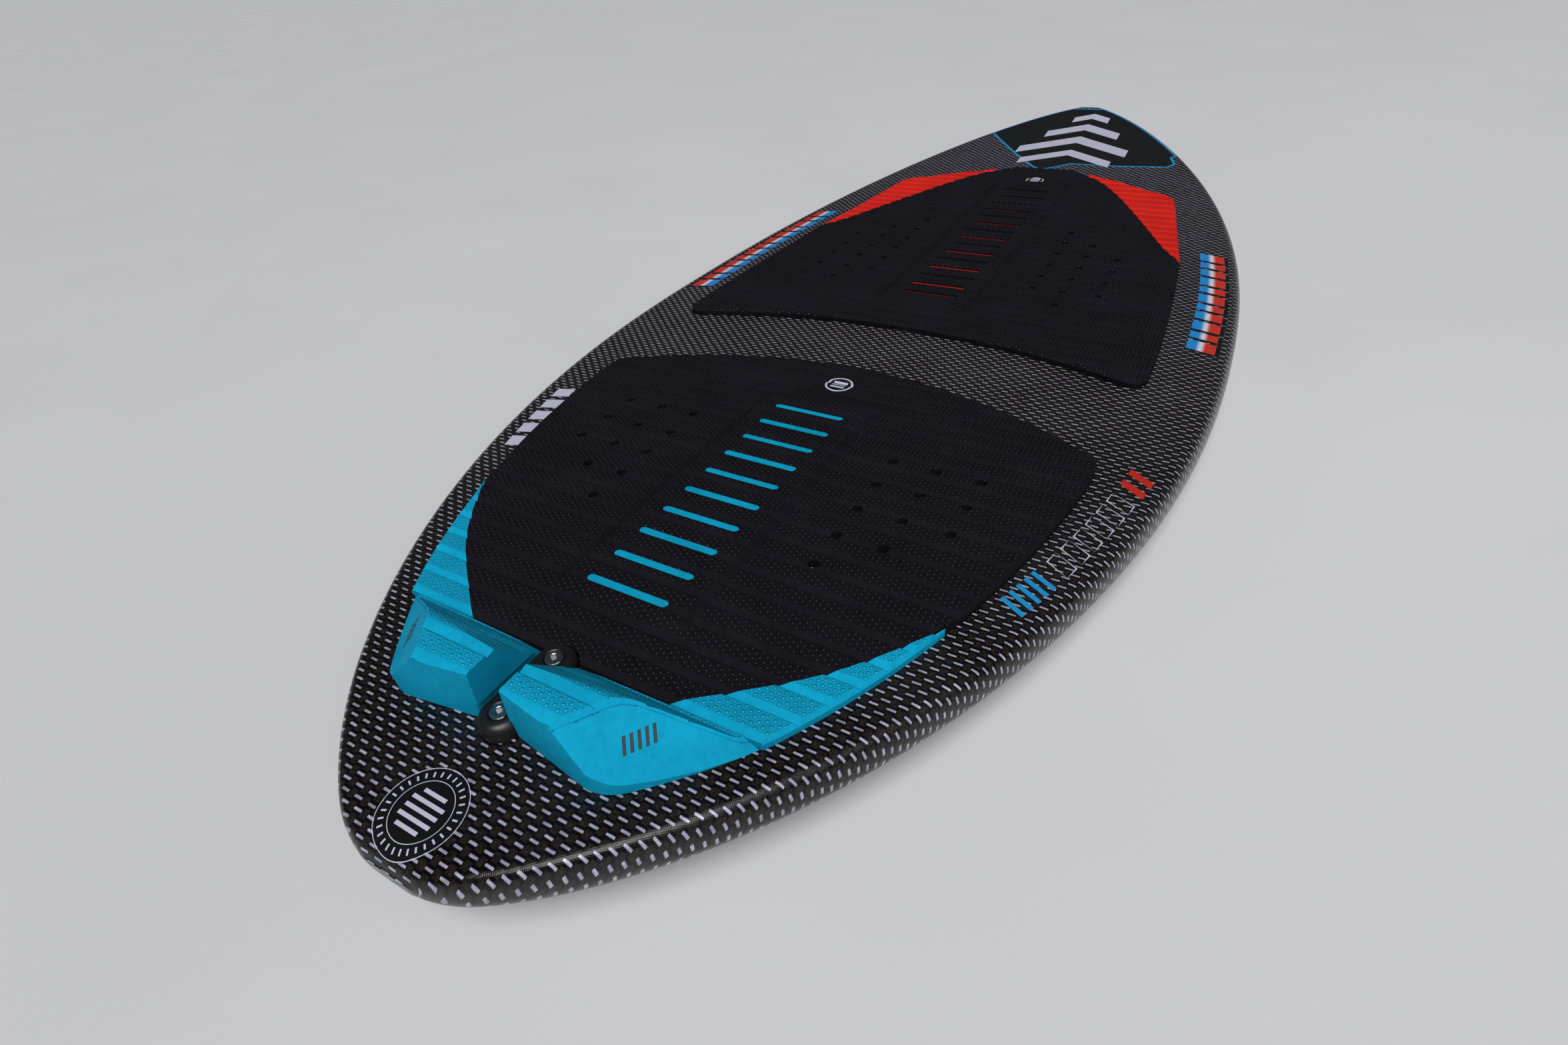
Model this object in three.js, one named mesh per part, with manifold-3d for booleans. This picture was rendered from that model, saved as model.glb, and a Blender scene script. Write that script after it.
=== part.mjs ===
// Surf-style wake and kite board: foam core, two laminate skins, foam traction pads, tail kick
// blocks and a low centre fin held by two machine screws that pass right through the board.
// Millimetres. X across the board (right +), Y towards the nose, Z up. The origin is on the flat
// belly under the middle of the length.

import * as THREE from 'three';
import { mergeVertices } from 'three/addons/utils/BufferGeometryUtils.js';
import Module from 'manifold-3d';

const wasm = await Module();
wasm.setup();

// ---------------------------------------------------------------- driving dimensions

const GAP = 0.3; // clearance between neighbouring pieces

// Plan outline
const HALF_LENGTH = 684;
const HALF_WIDTH = 275.8;
const WIDE_POINT_Y = -43.9;
const NOSE_CURVE = { length: 728, along: 2.24, across: 1.38 };
const TAIL_CURVE = { length: 646.5, along: 2.22, across: 1.549 };

// Side profile
const DECK_HEIGHT = 32.7;
const TAIL_LIFT = 0.04; // slope of the flat rear deck, radians
const NOSE_RISE = { start: -190, length: 874, height: 61.4, power: 2.7 };
const TAIL_DIP = { start: -615, length: 69, height: 4 };
const DECK_CROWN = 1.5;
const BELLY_FLAT = { rear: -80, front: 200 };
const BELLY_TAIL = { slope: 0.052, blend: 60 };
const BELLY_NOSE = { height: 50.7, power: 2 };

// Rail section: widths of the rounded top and bottom edges and their superellipse powers
const RAIL_TOP = { width: 13, power: 2.8 };
const RAIL_BOTTOM = { width: 22, power: 2.2 };
const END_ROUND = { length: 15, power: 2.3, least: 0.35 }; // the tips thin down over this length
const SKIN = 1.8;
const PARTING_DROP = 2.5; // the skins part this far below the widest line of the rail

// Foam pads
const PAD = 6;
const BAR_RISE = 3;
const BAR_HALF_WIDTH = 45;
const INSERT = { halfWidth: 40, thickness: 3 };
const SLOT = { halfLength: 28.9, width: 5.5, pitch: 24.62 };
const REAR_SLOTS = { count: 10, first: -289 };
const FRONT_SLOTS = { count: 15, first: 313.7 };
const REAR_BAR = { front: -262, rear: -524 };
const FRONT_BAR = { front: 352, rear: -66 };
const REAR_PAD = { front: -200.8, rear: -564, arch: 375, corner: 208.5 };
const FRONT_PAD = { rear: -105.5, front: 409.6, arch: 600, corner: 219.5 };

// The right kick block: its outline as (x, y), and its ramp as (y, height above the rear deck).
// The facet and the rear face are planes through points (x, y, height).
const KICK = {
  gap: 10.6,
  foot: -565,
  height: 32.8,
  ramp: [[-590, 32.8], [-585, 31.2], [-582, 28], [-577.6, 21.2], [-567, 6], [-560, 6]],
  outer: [[119, -565], [100, -590], [79.5, -609]],
  corner: [71, -617.6],
  rear: [[60, -617.6], [10.6, -611]],
  facet: [[62, -588.5, 32.8], [45, -613.5, 32.8], [94, -591.5, 4.8]],
  rearFace: [[10.6, -611.2, 0], [60, -618, 0], [40, -612.6, 32.8]],
};

// Fin hardware, in the tilted frame of the rear deck, centred between the screws
const HARDWARE_Y = -589;
const BOLT_SPACING = 38;
const BOLT = { shank: 6, head: 10, headHeight: 3.4, length: 52.5, recess: 4.4, recessDepth: 2 };
const SEAL = { outer: 9.2, inner: 6.6, height: 1.6 };
const HUB = { radius: 11.7, base: 1.5, top: 10.4, round: 5 };
const SLEEVE = { outer: 10, inner: 6.8 };
const BLOCK = { halfWidth: 26, halfLength: 52 };
const BOARD_AT_FIN = 31.8; // deck face to fin seat
const GASKET = 0.9;
const FIN = { plateWidth: 19, plateLength: 76, plate: 4.2, depth: 20.4, thickness: 6.4, boss: 14 };
const FIN_INSERT = { outer: 9, inner: 6.6, height: 9 };

// ---------------------------------------------------------------- solid helpers

function toManifold(geometry) {
  const bare = geometry.clone();
  bare.deleteAttribute('normal');
  bare.deleteAttribute('uv');
  const merged = mergeVertices(bare, 1e-4);
  return new wasm.Manifold(new wasm.Mesh({
    numProp: 3,
    vertProperties: new Float32Array(merged.attributes.position.array),
    triVerts: new Uint32Array(merged.index.array),
  }));
}

function toGeometry(manifold) {
  const mesh = manifold.getMesh();
  const geometry = new THREE.BufferGeometry();
  geometry.setAttribute('position', new THREE.BufferAttribute(mesh.vertProperties, 3));
  geometry.setIndex(new THREE.BufferAttribute(mesh.triVerts, 1));
  geometry.computeVertexNormals();
  return geometry;
}

// A closed skin over a row of equal rings of points, with a flat cap on the first and last ring
function loft(rings) {
  const size = rings[0].length;
  const positions = rings.flat().flatMap((point) => [point.x, point.y, point.z]);
  const index = [];
  for (let row = 0; row < rings.length - 1; row += 1) {
    for (let i = 0; i < size; i += 1) {
      const next = (i + 1) % size;
      const [a, b] = [row * size + i, row * size + next];
      index.push(a, b, b + size, a, b + size, a + size);
    }
  }
  const last = (rings.length - 1) * size;
  for (let i = 1; i < size - 1; i += 1) {
    index.push(0, i + 1, i);
    index.push(last, last + i, last + i + 1);
  }
  const geometry = new THREE.BufferGeometry();
  geometry.setAttribute('position', new THREE.Float32BufferAttribute(positions, 3));
  geometry.setIndex(index);
  return geometry;
}

function prism(shape, low, high, curveSegments = 8) {
  const options = { depth: high - low, bevelEnabled: false, curveSegments };
  return new THREE.ExtrudeGeometry(shape, options).translate(0, 0, low);
}

// Extrudes a profile drawn in (y, z) along X, centred on x = 0
function profileAcross(points, width) {
  const shape = new THREE.Shape(points.map(([y, z]) => new THREE.Vector2(y, z)));
  const geometry = prism(shape, -width / 2, width / 2);
  return geometry.applyMatrix4(new THREE.Matrix4().set(
    0, 0, 1, 0,
    1, 0, 0, 0,
    0, 1, 0, 0,
    0, 0, 0, 1,
  ));
}

function obround(halfSpan, radius) {
  const shape = new THREE.Shape();
  shape.absarc(0, halfSpan, radius, 0, Math.PI);
  shape.absarc(0, -halfSpan, radius, Math.PI, 2 * Math.PI);
  shape.closePath();
  return shape;
}

function cylinder(radius, low, high, sides = 20) {
  const geometry = new THREE.CylinderGeometry(radius, radius, high - low, sides);
  return geometry.rotateX(Math.PI / 2).translate(0, 0, (low + high) / 2);
}

// A turned piece: the profile is a list of (radius, z) points that closes on itself
function turned(profile, sides = 24) {
  const points = profile.map(([radius, z]) => new THREE.Vector2(radius, z));
  return new THREE.LatheGeometry(points, sides).rotateX(Math.PI / 2);
}

function tube(outer, inner, low, high, sides = 20) {
  return turned([[inner, low], [outer, low], [outer, high], [inner, high], [inner, low]], sides);
}

function mirrorX(geometry) {
  const mirrored = geometry.clone();
  const position = mirrored.attributes.position;
  for (let i = 0; i < position.count; i += 1) {
    position.setX(i, -position.getX(i));
  }
  const index = mirrored.index.array;
  for (let i = 0; i < index.length; i += 3) {
    [index[i], index[i + 1]] = [index[i + 1], index[i]];
  }
  mirrored.computeVertexNormals();
  return mirrored;
}

// ---------------------------------------------------------------- the board's surfaces

function outlineHalfWidth(y) {
  const curve = y > WIDE_POINT_Y ? NOSE_CURVE : TAIL_CURVE;
  const t = Math.min(1, Math.abs(y - WIDE_POINT_Y) / curve.length);
  return HALF_WIDTH * Math.max(0, 1 - t ** curve.along) ** (1 / curve.across);
}

function deckHeight(y) {
  const nose = Math.max(0, y - NOSE_RISE.start) / NOSE_RISE.length;
  const tail = Math.max(0, TAIL_DIP.start - y) / TAIL_DIP.length;
  return DECK_HEIGHT - TAIL_LIFT * y + NOSE_RISE.height * nose ** NOSE_RISE.power
    - TAIL_DIP.height * tail ** 2;
}

function bellyHeight(y) {
  const behind = Math.max(0, BELLY_FLAT.rear - y);
  const ahead = Math.max(0, y - BELLY_FLAT.front) / (HALF_LENGTH - BELLY_FLAT.front);
  return BELLY_TAIL.slope * (Math.hypot(behind, BELLY_TAIL.blend) - BELLY_TAIL.blend)
    + BELLY_NOSE.height * ahead ** BELLY_NOSE.power;
}

function deckAt(x, y) {
  return deckHeight(y) - DECK_CROWN * (x / HALF_WIDTH) ** 2;
}

// The share of the full thickness that is left this close to a tip
function endFactor(y, inset) {
  const { length, power, least } = END_ROUND;
  const distance = THREE.MathUtils.clamp((HALF_LENGTH - inset - Math.abs(y)) / length, 0, 1);
  return Math.max(least, (1 - (1 - distance) ** power) ** (1 / power));
}

// One closed ring round the hull at y, moved inwards by inset
function hullRing(y, inset) {
  const half = Math.max(2.5, outlineHalfWidth(y) - inset);
  const middle = (deckHeight(y) + bellyHeight(y)) / 2;
  const rise = ((deckHeight(y) - bellyHeight(y)) / 2 - inset) * endFactor(y, inset);
  const top = middle + rise;
  const topWidth = Math.min(RAIL_TOP.width, half * 0.5);
  const bottomWidth = Math.min(RAIL_BOTTOM.width, half * 0.6);
  const side = [];
  for (const fraction of [0.4, 0.75]) {
    side.push([(half - topWidth) * fraction, top]);
  }
  const steps = 9;
  for (let i = 0; i <= steps; i += 1) {
    const angle = Math.PI * i / steps;
    const isTop = i < steps / 2;
    const width = isTop ? topWidth : bottomWidth;
    const power = 2 / (isTop ? RAIL_TOP.power : RAIL_BOTTOM.power);
    const out = Math.sin(angle) ** power;
    const up = Math.sign(Math.cos(angle)) * Math.abs(Math.cos(angle)) ** power;
    side.push([half - width + width * (i === steps ? 0 : out), middle + rise * up]);
  }
  const crowned = ([x, z]) => {
    const weight = Math.max(0, (z - middle) / rise);
    return [x, z - DECK_CROWN * (x / HALF_WIDTH) ** 2 * weight];
  };
  const right = side.map(crowned);
  const left = right.map(([x, z]) => [-x, z]).reverse();
  const ring = [[0, top], ...right, ...left];
  return ring.map(([x, z]) => new THREE.Vector3(x, y, z));
}

function hullStations(inset) {
  const count = 30;
  const stations = [];
  for (let i = 0; i <= count; i += 1) {
    stations.push(-(HALF_LENGTH - inset) * Math.cos(Math.PI * i / count));
  }
  return stations;
}

function hullSolid(inset) {
  return toManifold(loft(hullStations(inset).map((y) => hullRing(y, inset))));
}

function aboveParting(offset) {
  const reach = HALF_LENGTH + 20;
  const line = hullStations(-20).map((y) => {
    const clamped = THREE.MathUtils.clamp(y, -HALF_LENGTH, HALF_LENGTH);
    const middle = (deckHeight(clamped) + bellyHeight(clamped)) / 2;
    return [y, middle - PARTING_DROP + offset];
  });
  return toManifold(profileAcross([...line, [reach, 200], [-reach, 200]], 4 * HALF_WIDTH));
}

// A layer that follows the deck between two heights above it
function deckLayer(low, high, rear, front) {
  const [width, length] = [2 * HALF_WIDTH, front - rear];
  const layer = new THREE.BoxGeometry(width, length, 1, 8, Math.ceil(length / 30), 1);
  layer.translate(0, (front + rear) / 2, 0);
  const position = layer.attributes.position;
  for (let i = 0; i < position.count; i += 1) {
    const height = position.getZ(i) > 0 ? high : low;
    position.setZ(i, deckAt(position.getX(i), position.getY(i)) + height);
  }
  return toManifold(layer);
}

// The pads' outlines keep a margin of bare deck that narrows towards the tail
function rearPadSide(y) {
  const t = Math.max(0, (y + 560) / 270);
  return outlineHalfWidth(y) - (28 + 18 * t ** 1.2);
}

function archDrop(x, radius) {
  return radius - Math.sqrt(radius ** 2 - x ** 2);
}

// ---------------------------------------------------------------- tail hardware frame

const hardware = new THREE.Group();
hardware.position.set(0, HARDWARE_Y, deckHeight(HARDWARE_Y));
hardware.rotation.x = -TAIL_LIFT;
hardware.updateMatrix();
const boltPlaces = { front_bolt: BOLT_SPACING / 2, rear_bolt: -BOLT_SPACING / 2 };

// A geometry drawn in the hardware frame, as a solid in the board's frame
function placedManifold(geometry) {
  return toManifold(geometry.clone().applyMatrix4(hardware.matrix));
}

function boltHoles(radius, low, high) {
  const [front, rear] = Object.values(boltPlaces).map((y) => placedManifold(
    cylinder(radius, low, high).translate(0, y, 0),
  ));
  return front.add(rear);
}

// ---------------------------------------------------------------- hull pieces

function finSeatCut() {
  const shape = obround(FIN.plateLength / 2 - FIN.plateWidth / 2, FIN.plateWidth / 2 + 1);
  return placedManifold(prism(shape, -BOARD_AT_FIN - 10, -BOARD_AT_FIN));
}

function blockPocket(clearance) {
  const { halfWidth, halfLength } = BLOCK;
  const size = [2 * (halfWidth + clearance), 2 * (halfLength + clearance), 80];
  return placedManifold(new THREE.BoxGeometry(...size).translate(0, 0, -BOARD_AT_FIN / 2));
}

function foamCoreManifold() {
  return hullSolid(SKIN + GAP);
}

function foamCore() {
  return toGeometry(foamCoreManifold().subtract(blockPocket(GAP)));
}

function finBlock() {
  const holes = boltHoles(SLEEVE.outer / 2 + GAP, -60, 20);
  return toGeometry(foamCoreManifold().intersect(blockPocket(0)).subtract(holes));
}

function deckSkin() {
  const shell = hullSolid(0).intersect(aboveParting(GAP / 2)).subtract(hullSolid(SKIN));
  return toGeometry(shell.subtract(boltHoles(SLEEVE.outer / 2 + GAP, -15, 20)));
}

function bottomSkin() {
  const shell = hullSolid(0).subtract(aboveParting(-GAP / 2)).subtract(hullSolid(SKIN));
  const holes = boltHoles(SLEEVE.outer / 2 + GAP, -60, -15);
  return toGeometry(shell.subtract(holes).subtract(finSeatCut()));
}

// ---------------------------------------------------------------- foam pads

function slotCuts(slots) {
  const { halfLength, width, pitch } = SLOT;
  const shape = obround(halfLength - width / 2, width / 2);
  let cuts = null;
  for (let i = 0; i < slots.count; i += 1) {
    const slot = prism(shape, 0, 200, 3);
    slot.rotateZ(Math.PI / 2).translate(0, slots.first - i * pitch, 0);
    cuts = cuts ? cuts.add(toManifold(slot)) : toManifold(slot);
  }
  return cuts;
}

function barShape(bar, halfWidth) {
  return new THREE.Shape([
    new THREE.Vector2(-halfWidth, bar.rear),
    new THREE.Vector2(halfWidth, bar.rear),
    new THREE.Vector2(halfWidth, bar.front),
    new THREE.Vector2(-halfWidth, bar.front),
  ]);
}

// A centre pad: flat foam with a raised slotted bar over the coloured insert
function centrePad(outline, bar, slots) {
  const whole = toManifold(prism(outline, -50, 200, 6));
  const raised = toManifold(prism(barShape(bar, BAR_HALF_WIDTH), -50, 200));
  const channel = toManifold(prism(barShape(insertBar(bar), INSERT.halfWidth + GAP), -50, 200));
  const [rear, front] = [bar.rear - 120, bar.front + 120];
  const flat = deckLayer(GAP, GAP + PAD, rear, front).intersect(whole);
  const hump = deckLayer(GAP, GAP + PAD + BAR_RISE, rear, front).intersect(raised);
  const hollow = deckLayer(-5, 2 * GAP + INSERT.thickness, rear, front).intersect(channel);
  return flat.add(hump).subtract(hollow).subtract(slotCuts(slots));
}

function insertBar(bar) {
  return { front: bar.front - 4, rear: bar.rear + 4 };
}

function archInsert(bar) {
  const shape = barShape(insertBar(bar), INSERT.halfWidth);
  const layer = deckLayer(GAP, GAP + INSERT.thickness, bar.rear - 60, bar.front + 60);
  return toGeometry(layer.intersect(toManifold(prism(shape, -50, 200))));
}

// Rear pad: arched front edge, sides that follow the rail, and tail corners cut off by the wings
const REAR_SPLIT = [[170, -457], [152, -485], [131, -511], [109, -531.5], [68, REAR_PAD.rear]];

function rearSide(from, to) {
  const points = [];
  const count = 6;
  for (let i = 0; i <= count; i += 1) {
    const y = from + (to - from) * i / count;
    points.push([rearPadSide(y), y]);
  }
  return points;
}

function symmetricShape(rightSide) {
  const left = rightSide.map(([x, y]) => [-x, y]).reverse();
  const points = [...rightSide, ...left].map(([x, y]) => new THREE.Vector2(x, y));
  return new THREE.Shape(points);
}

// Half of a pad's arched edge, from the board's centreline outwards
function archPoints(pad, edge) {
  const count = 6;
  const points = [];
  for (let i = 0; i <= count; i += 1) {
    const x = pad.corner * 0.94 * i / count;
    points.push([x, edge - archDrop(x, pad.arch)]);
  }
  return points;
}

function rearPadCentre() {
  const corner = [[205.5, -262], [208.5, -272]];
  const outline = symmetricShape([
    ...archPoints(REAR_PAD, REAR_PAD.front).slice(1),
    ...corner,
    ...rearSide(-290, -457),
    ...REAR_SPLIT.slice(1),
  ]);
  const recess = toManifold(cylinder(HUB.radius + 0.8, -50, 200, 24)
    .translate(0, HARDWARE_Y + BOLT_SPACING / 2, 0));
  return toGeometry(centrePad(outline, REAR_BAR, REAR_SLOTS).subtract(recess));
}

function rearWing() {
  const outer = rearSide(-459.5, REAR_PAD.rear);
  const inner = REAR_SPLIT.slice(1).map(([x, y]) => [x + GAP, y]).reverse();
  const shape = new THREE.Shape([...outer, ...inner].map(([x, y]) => new THREE.Vector2(x, y)));
  const layer = deckLayer(GAP, GAP + PAD, -600, -430);
  return toGeometry(layer.intersect(toManifold(prism(shape, -50, 200))));
}

// Front pad: arched rear edge, long sides, and a rounded nose end whose corners are the wings
const FRONT_SPLIT = [[209, 135], [187, 171], [165, 219], [132, 287], [107, 333], [78, 374], [39, 406]];
const FRONT_RIM = [[209, 135], [194, 226], [179, 315], [175, 330], [166, 341], [137, 357], [98, 380]];

function frontPadCentre() {
  const rearArch = archPoints(FRONT_PAD, FRONT_PAD.rear).slice(1).reverse();
  const outline = symmetricShape([
    [28, FRONT_PAD.front],
    ...FRONT_SPLIT.slice().reverse(),
    [216, 30],
    [FRONT_PAD.corner, -60],
    [FRONT_PAD.corner, -133],
    [214, -143],
    ...rearArch,
  ]);
  return toGeometry(centrePad(outline, FRONT_BAR, FRONT_SLOTS));
}

function frontWing() {
  const inner = FRONT_SPLIT.slice(1).map(([x, y]) => [x + GAP, y + GAP]).reverse();
  const rim = FRONT_RIM.map(([x, y]) => [x, y + 2 * GAP]);
  const points = [...rim, ...inner].map(([x, y]) => new THREE.Vector2(x, y));
  const layer = deckLayer(GAP, GAP + PAD, 100, 440);
  return toGeometry(layer.intersect(toManifold(prism(new THREE.Shape(points), -50, 200))));
}

// A half-space behind the plane through three points, on the side away from the origin of rays
function beyondPlane(points, outwards) {
  const plane = new THREE.Plane().setFromCoplanarPoints(
    ...points.map(([x, y, height]) => new THREE.Vector3(x, y, deckHeight(y) + height)),
  );
  const normal = plane.normal.clone().multiplyScalar(Math.sign(plane.normal.dot(outwards)));
  const cutter = new THREE.BoxGeometry(400, 400, 200).translate(0, 0, 100);
  const turn = new THREE.Quaternion().setFromUnitVectors(new THREE.Vector3(0, 0, 1), normal);
  const [x, y, height] = points[0];
  return toManifold(cutter.applyQuaternion(turn).translate(x, y, deckHeight(y) + height));
}

// Kick block: steep rounded front ramp, level top, steep rear face and a sloping outer facet
function kickBlock() {
  const { gap, foot, height, ramp, outer, corner, rear, facet, rearFace } = KICK;
  const plan = new THREE.Shape();
  plan.moveTo(gap, foot);
  plan.lineTo(outer[0][0], foot);
  plan.quadraticCurveTo(...outer[1], ...outer[2]);
  plan.quadraticCurveTo(...corner, ...rear[0]);
  plan.lineTo(...rear[1]);
  plan.closePath();
  const base = deckHeight(foot);
  const level = (y, rise) => [y, deckHeight(y) + rise];
  const profile = profileAcross([
    level(foot + 5, -9),
    level(-640, -9),
    level(-640, height),
    ...ramp.map(([y, rise]) => level(y, rise)),
  ], 300);
  const body = toManifold(prism(plan, base - 20, base + 60)).intersect(toManifold(profile));
  const hubRoom = placedManifold(prism(obround(BOLT_SPACING / 2, HUB.radius + 0.6), -5, 60));
  return toGeometry(body.intersect(deckLayer(GAP, 80, -660, -540))
    .subtract(beyondPlane(facet, new THREE.Vector3(1, 0, 1)))
    .subtract(beyondPlane(rearFace, new THREE.Vector3(0, -1, 0)))
    .subtract(hubRoom));
}

// ---------------------------------------------------------------- fin hardware

function boltHub() {
  const { radius, base, top, round } = HUB;
  const half = BOLT_SPACING / 2;
  let hub = toManifold(prism(obround(half, radius), base, top - round));
  for (const [inset, height] of [[0.6, 0.5], [1.9, 0.8], [4, 1]]) {
    hub = hub.add(toManifold(prism(obround(half, radius - inset), base, top - round * (1 - height))));
  }
  for (const y of Object.values(boltPlaces)) {
    const seat = BOLT.head / 2 + GAP;
    const sinkDepth = BOLT.headHeight + SEAL.height + 2 * GAP;
    const bore = cylinder(SLEEVE.inner / 2, -5, 20).translate(0, y, 0);
    const sink = cylinder(seat, top - sinkDepth, 20).translate(0, y, 0);
    hub = hub.subtract(toManifold(bore)).subtract(toManifold(sink));
  }
  return toGeometry(hub);
}

function hubGasket() {
  let gasket = toManifold(prism(obround(BOLT_SPACING / 2, HUB.radius - 0.5), GAP, GAP + GASKET));
  for (const y of Object.values(boltPlaces)) {
    gasket = gasket.subtract(toManifold(cylinder(SLEEVE.outer / 2, -5, 5).translate(0, y, 0)));
  }
  return toGeometry(gasket);
}

// A countersunk screw with its head flush with the hub, and a six-sided drive recess
function bolt() {
  const { shank, head, headHeight, length, recess, recessDepth } = BOLT;
  const top = HUB.top + 0.2;
  const screw = turned([
    [0, top - length],
    [shank / 2, top - length + 1],
    [shank / 2, top - headHeight],
    [head / 2, top - 0.8],
    [head / 2 - 0.3, top - 0.2],
    [head / 2 - 0.8, top],
    [0, top],
  ]);
  const drive = cylinder(recess / 2, top - recessDepth, top + 5, 6);
  return toGeometry(toManifold(screw).subtract(toManifold(drive)));
}

function boltSeal() {
  const low = HUB.top - BOLT.headHeight - SEAL.height - GAP;
  return tube(SEAL.outer / 2, SEAL.inner / 2, low, low + SEAL.height);
}

function boltSleeve() {
  return tube(SLEEVE.outer / 2, SLEEVE.inner / 2, -BOARD_AT_FIN, 0);
}

function finGasket() {
  const shape = obround((FIN.plateLength - FIN.plateWidth) / 2, FIN.plateWidth / 2);
  const top = -BOARD_AT_FIN - GAP;
  let gasket = toManifold(prism(shape, top - GASKET, top));
  for (const y of Object.values(boltPlaces)) {
    gasket = gasket.subtract(toManifold(cylinder(SLEEVE.inner / 2, -60, 0).translate(0, y, 0)));
  }
  return toGeometry(gasket);
}

const FIN_TOP = -BOARD_AT_FIN - 2 * GAP - GASKET;

// A low fin: base plate, swept blade and two bosses that carry the threaded inserts
function centreFin() {
  const { plateWidth, plateLength, plate, depth, thickness, boss } = FIN;
  const plateShape = obround((plateLength - plateWidth) / 2, plateWidth / 2);
  const blade = new THREE.Shape();
  blade.moveTo(37, -1);
  blade.lineTo(-36, -1);
  blade.quadraticCurveTo(-37, -0.7 * depth, -44, -depth + 1.5);
  blade.quadraticCurveTo(-42, -depth, -34, -depth);
  blade.quadraticCurveTo(6, -0.86 * depth, 37, -1);
  const outline = blade.getPoints(6).map((point) => [point.x, point.y]);
  let fin = toManifold(profileAcross(outline, thickness));
  fin = fin.add(toManifold(prism(plateShape, -plate, 0)));
  for (const y of Object.values(boltPlaces)) {
    const hole = FIN_INSERT.outer / 2 + GAP;
    fin = fin.add(toManifold(cylinder(boss / 2, -FIN_INSERT.height - 3, 0).translate(0, y, 0)));
    fin = fin.subtract(toManifold(
      cylinder(hole, -FIN_INSERT.height - GAP, 5).translate(0, y, 0),
    ));
  }
  return toGeometry(fin);
}

function finInsert() {
  const { outer, inner, height } = FIN_INSERT;
  return tube(outer / 2, inner / 2, FIN_TOP - height, FIN_TOP);
}

// ---------------------------------------------------------------- the assembly

const COLOURS = {
  foam: [0xefe9dc, 0.9, 0],
  carbon: [0x1a1a20, 0.25, 0.1],
  blackPad: [0x17151c, 0.85, 0],
  bluePad: [0x0bb6e1, 0.8, 0],
  redPad: [0xc8282a, 0.8, 0],
  blackPlastic: [0x0e0d12, 0.35, 0],
  rubber: [0x0a0a0a, 0.7, 0],
  steel: [0xb9bcc0, 0.25, 1],
  brass: [0xb08d3e, 0.35, 1],
  resinBlock: [0xc9b58c, 0.8, 0],
};

function part(name, geometry, colour) {
  const [color, roughness, metalness] = COLOURS[colour];
  const material = new THREE.MeshStandardMaterial({ color, roughness, metalness });
  const mesh = new THREE.Mesh(geometry, material);
  mesh.name = name;
  return mesh;
}

const board = new THREE.Group();
board.add(
  part('foam_core', foamCore(), 'foam'),
  part('fin_block', finBlock(), 'resinBlock'),
  part('deck_skin', deckSkin(), 'carbon'),
  part('bottom_skin', bottomSkin(), 'carbon'),
  part('rear_pad_centre', rearPadCentre(), 'blackPad'),
  part('rear_arch_insert', archInsert(REAR_BAR), 'bluePad'),
  part('front_pad_centre', frontPadCentre(), 'blackPad'),
  part('front_arch_insert', archInsert(FRONT_BAR), 'redPad'),
);

const sides = [
  ['rear_pad', '_wing', rearWing(), 'bluePad'],
  ['front_pad', '_wing', frontWing(), 'redPad'],
  ['rear_kick', '', kickBlock(), 'bluePad'],
];
for (const [name, ending, rightPiece, colour] of sides) {
  board.add(part(`${name}_right${ending}`, rightPiece, colour));
  board.add(part(`${name}_left${ending}`, mirrorX(rightPiece), colour));
}

hardware.add(
  part('bolt_hub', boltHub(), 'blackPlastic'),
  part('hub_gasket', hubGasket(), 'rubber'),
  part('fin_gasket', finGasket(), 'rubber'),
);
const fin = part('centre_fin', centreFin(), 'carbon');
fin.position.z = FIN_TOP;
hardware.add(fin);

const perBolt = [
  ['', bolt, 'steel'],
  ['_seal', boltSeal, 'rubber'],
  ['_sleeve', boltSleeve, 'steel'],
  ['_insert', finInsert, 'brass'],
];
for (const [place, y] of Object.entries(boltPlaces)) {
  for (const [ending, make, colour] of perBolt) {
    const piece = part(place + ending, make(), colour);
    piece.position.y = y;
    hardware.add(piece);
  }
}
board.add(hardware);

export default board;
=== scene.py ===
from functools import partialmethod
from itertools import cycle
from math import ceil, cos, pi, radians, sin, sqrt

import bmesh
import bpy
import numpy as np
from mathutils import Matrix, Vector


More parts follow.
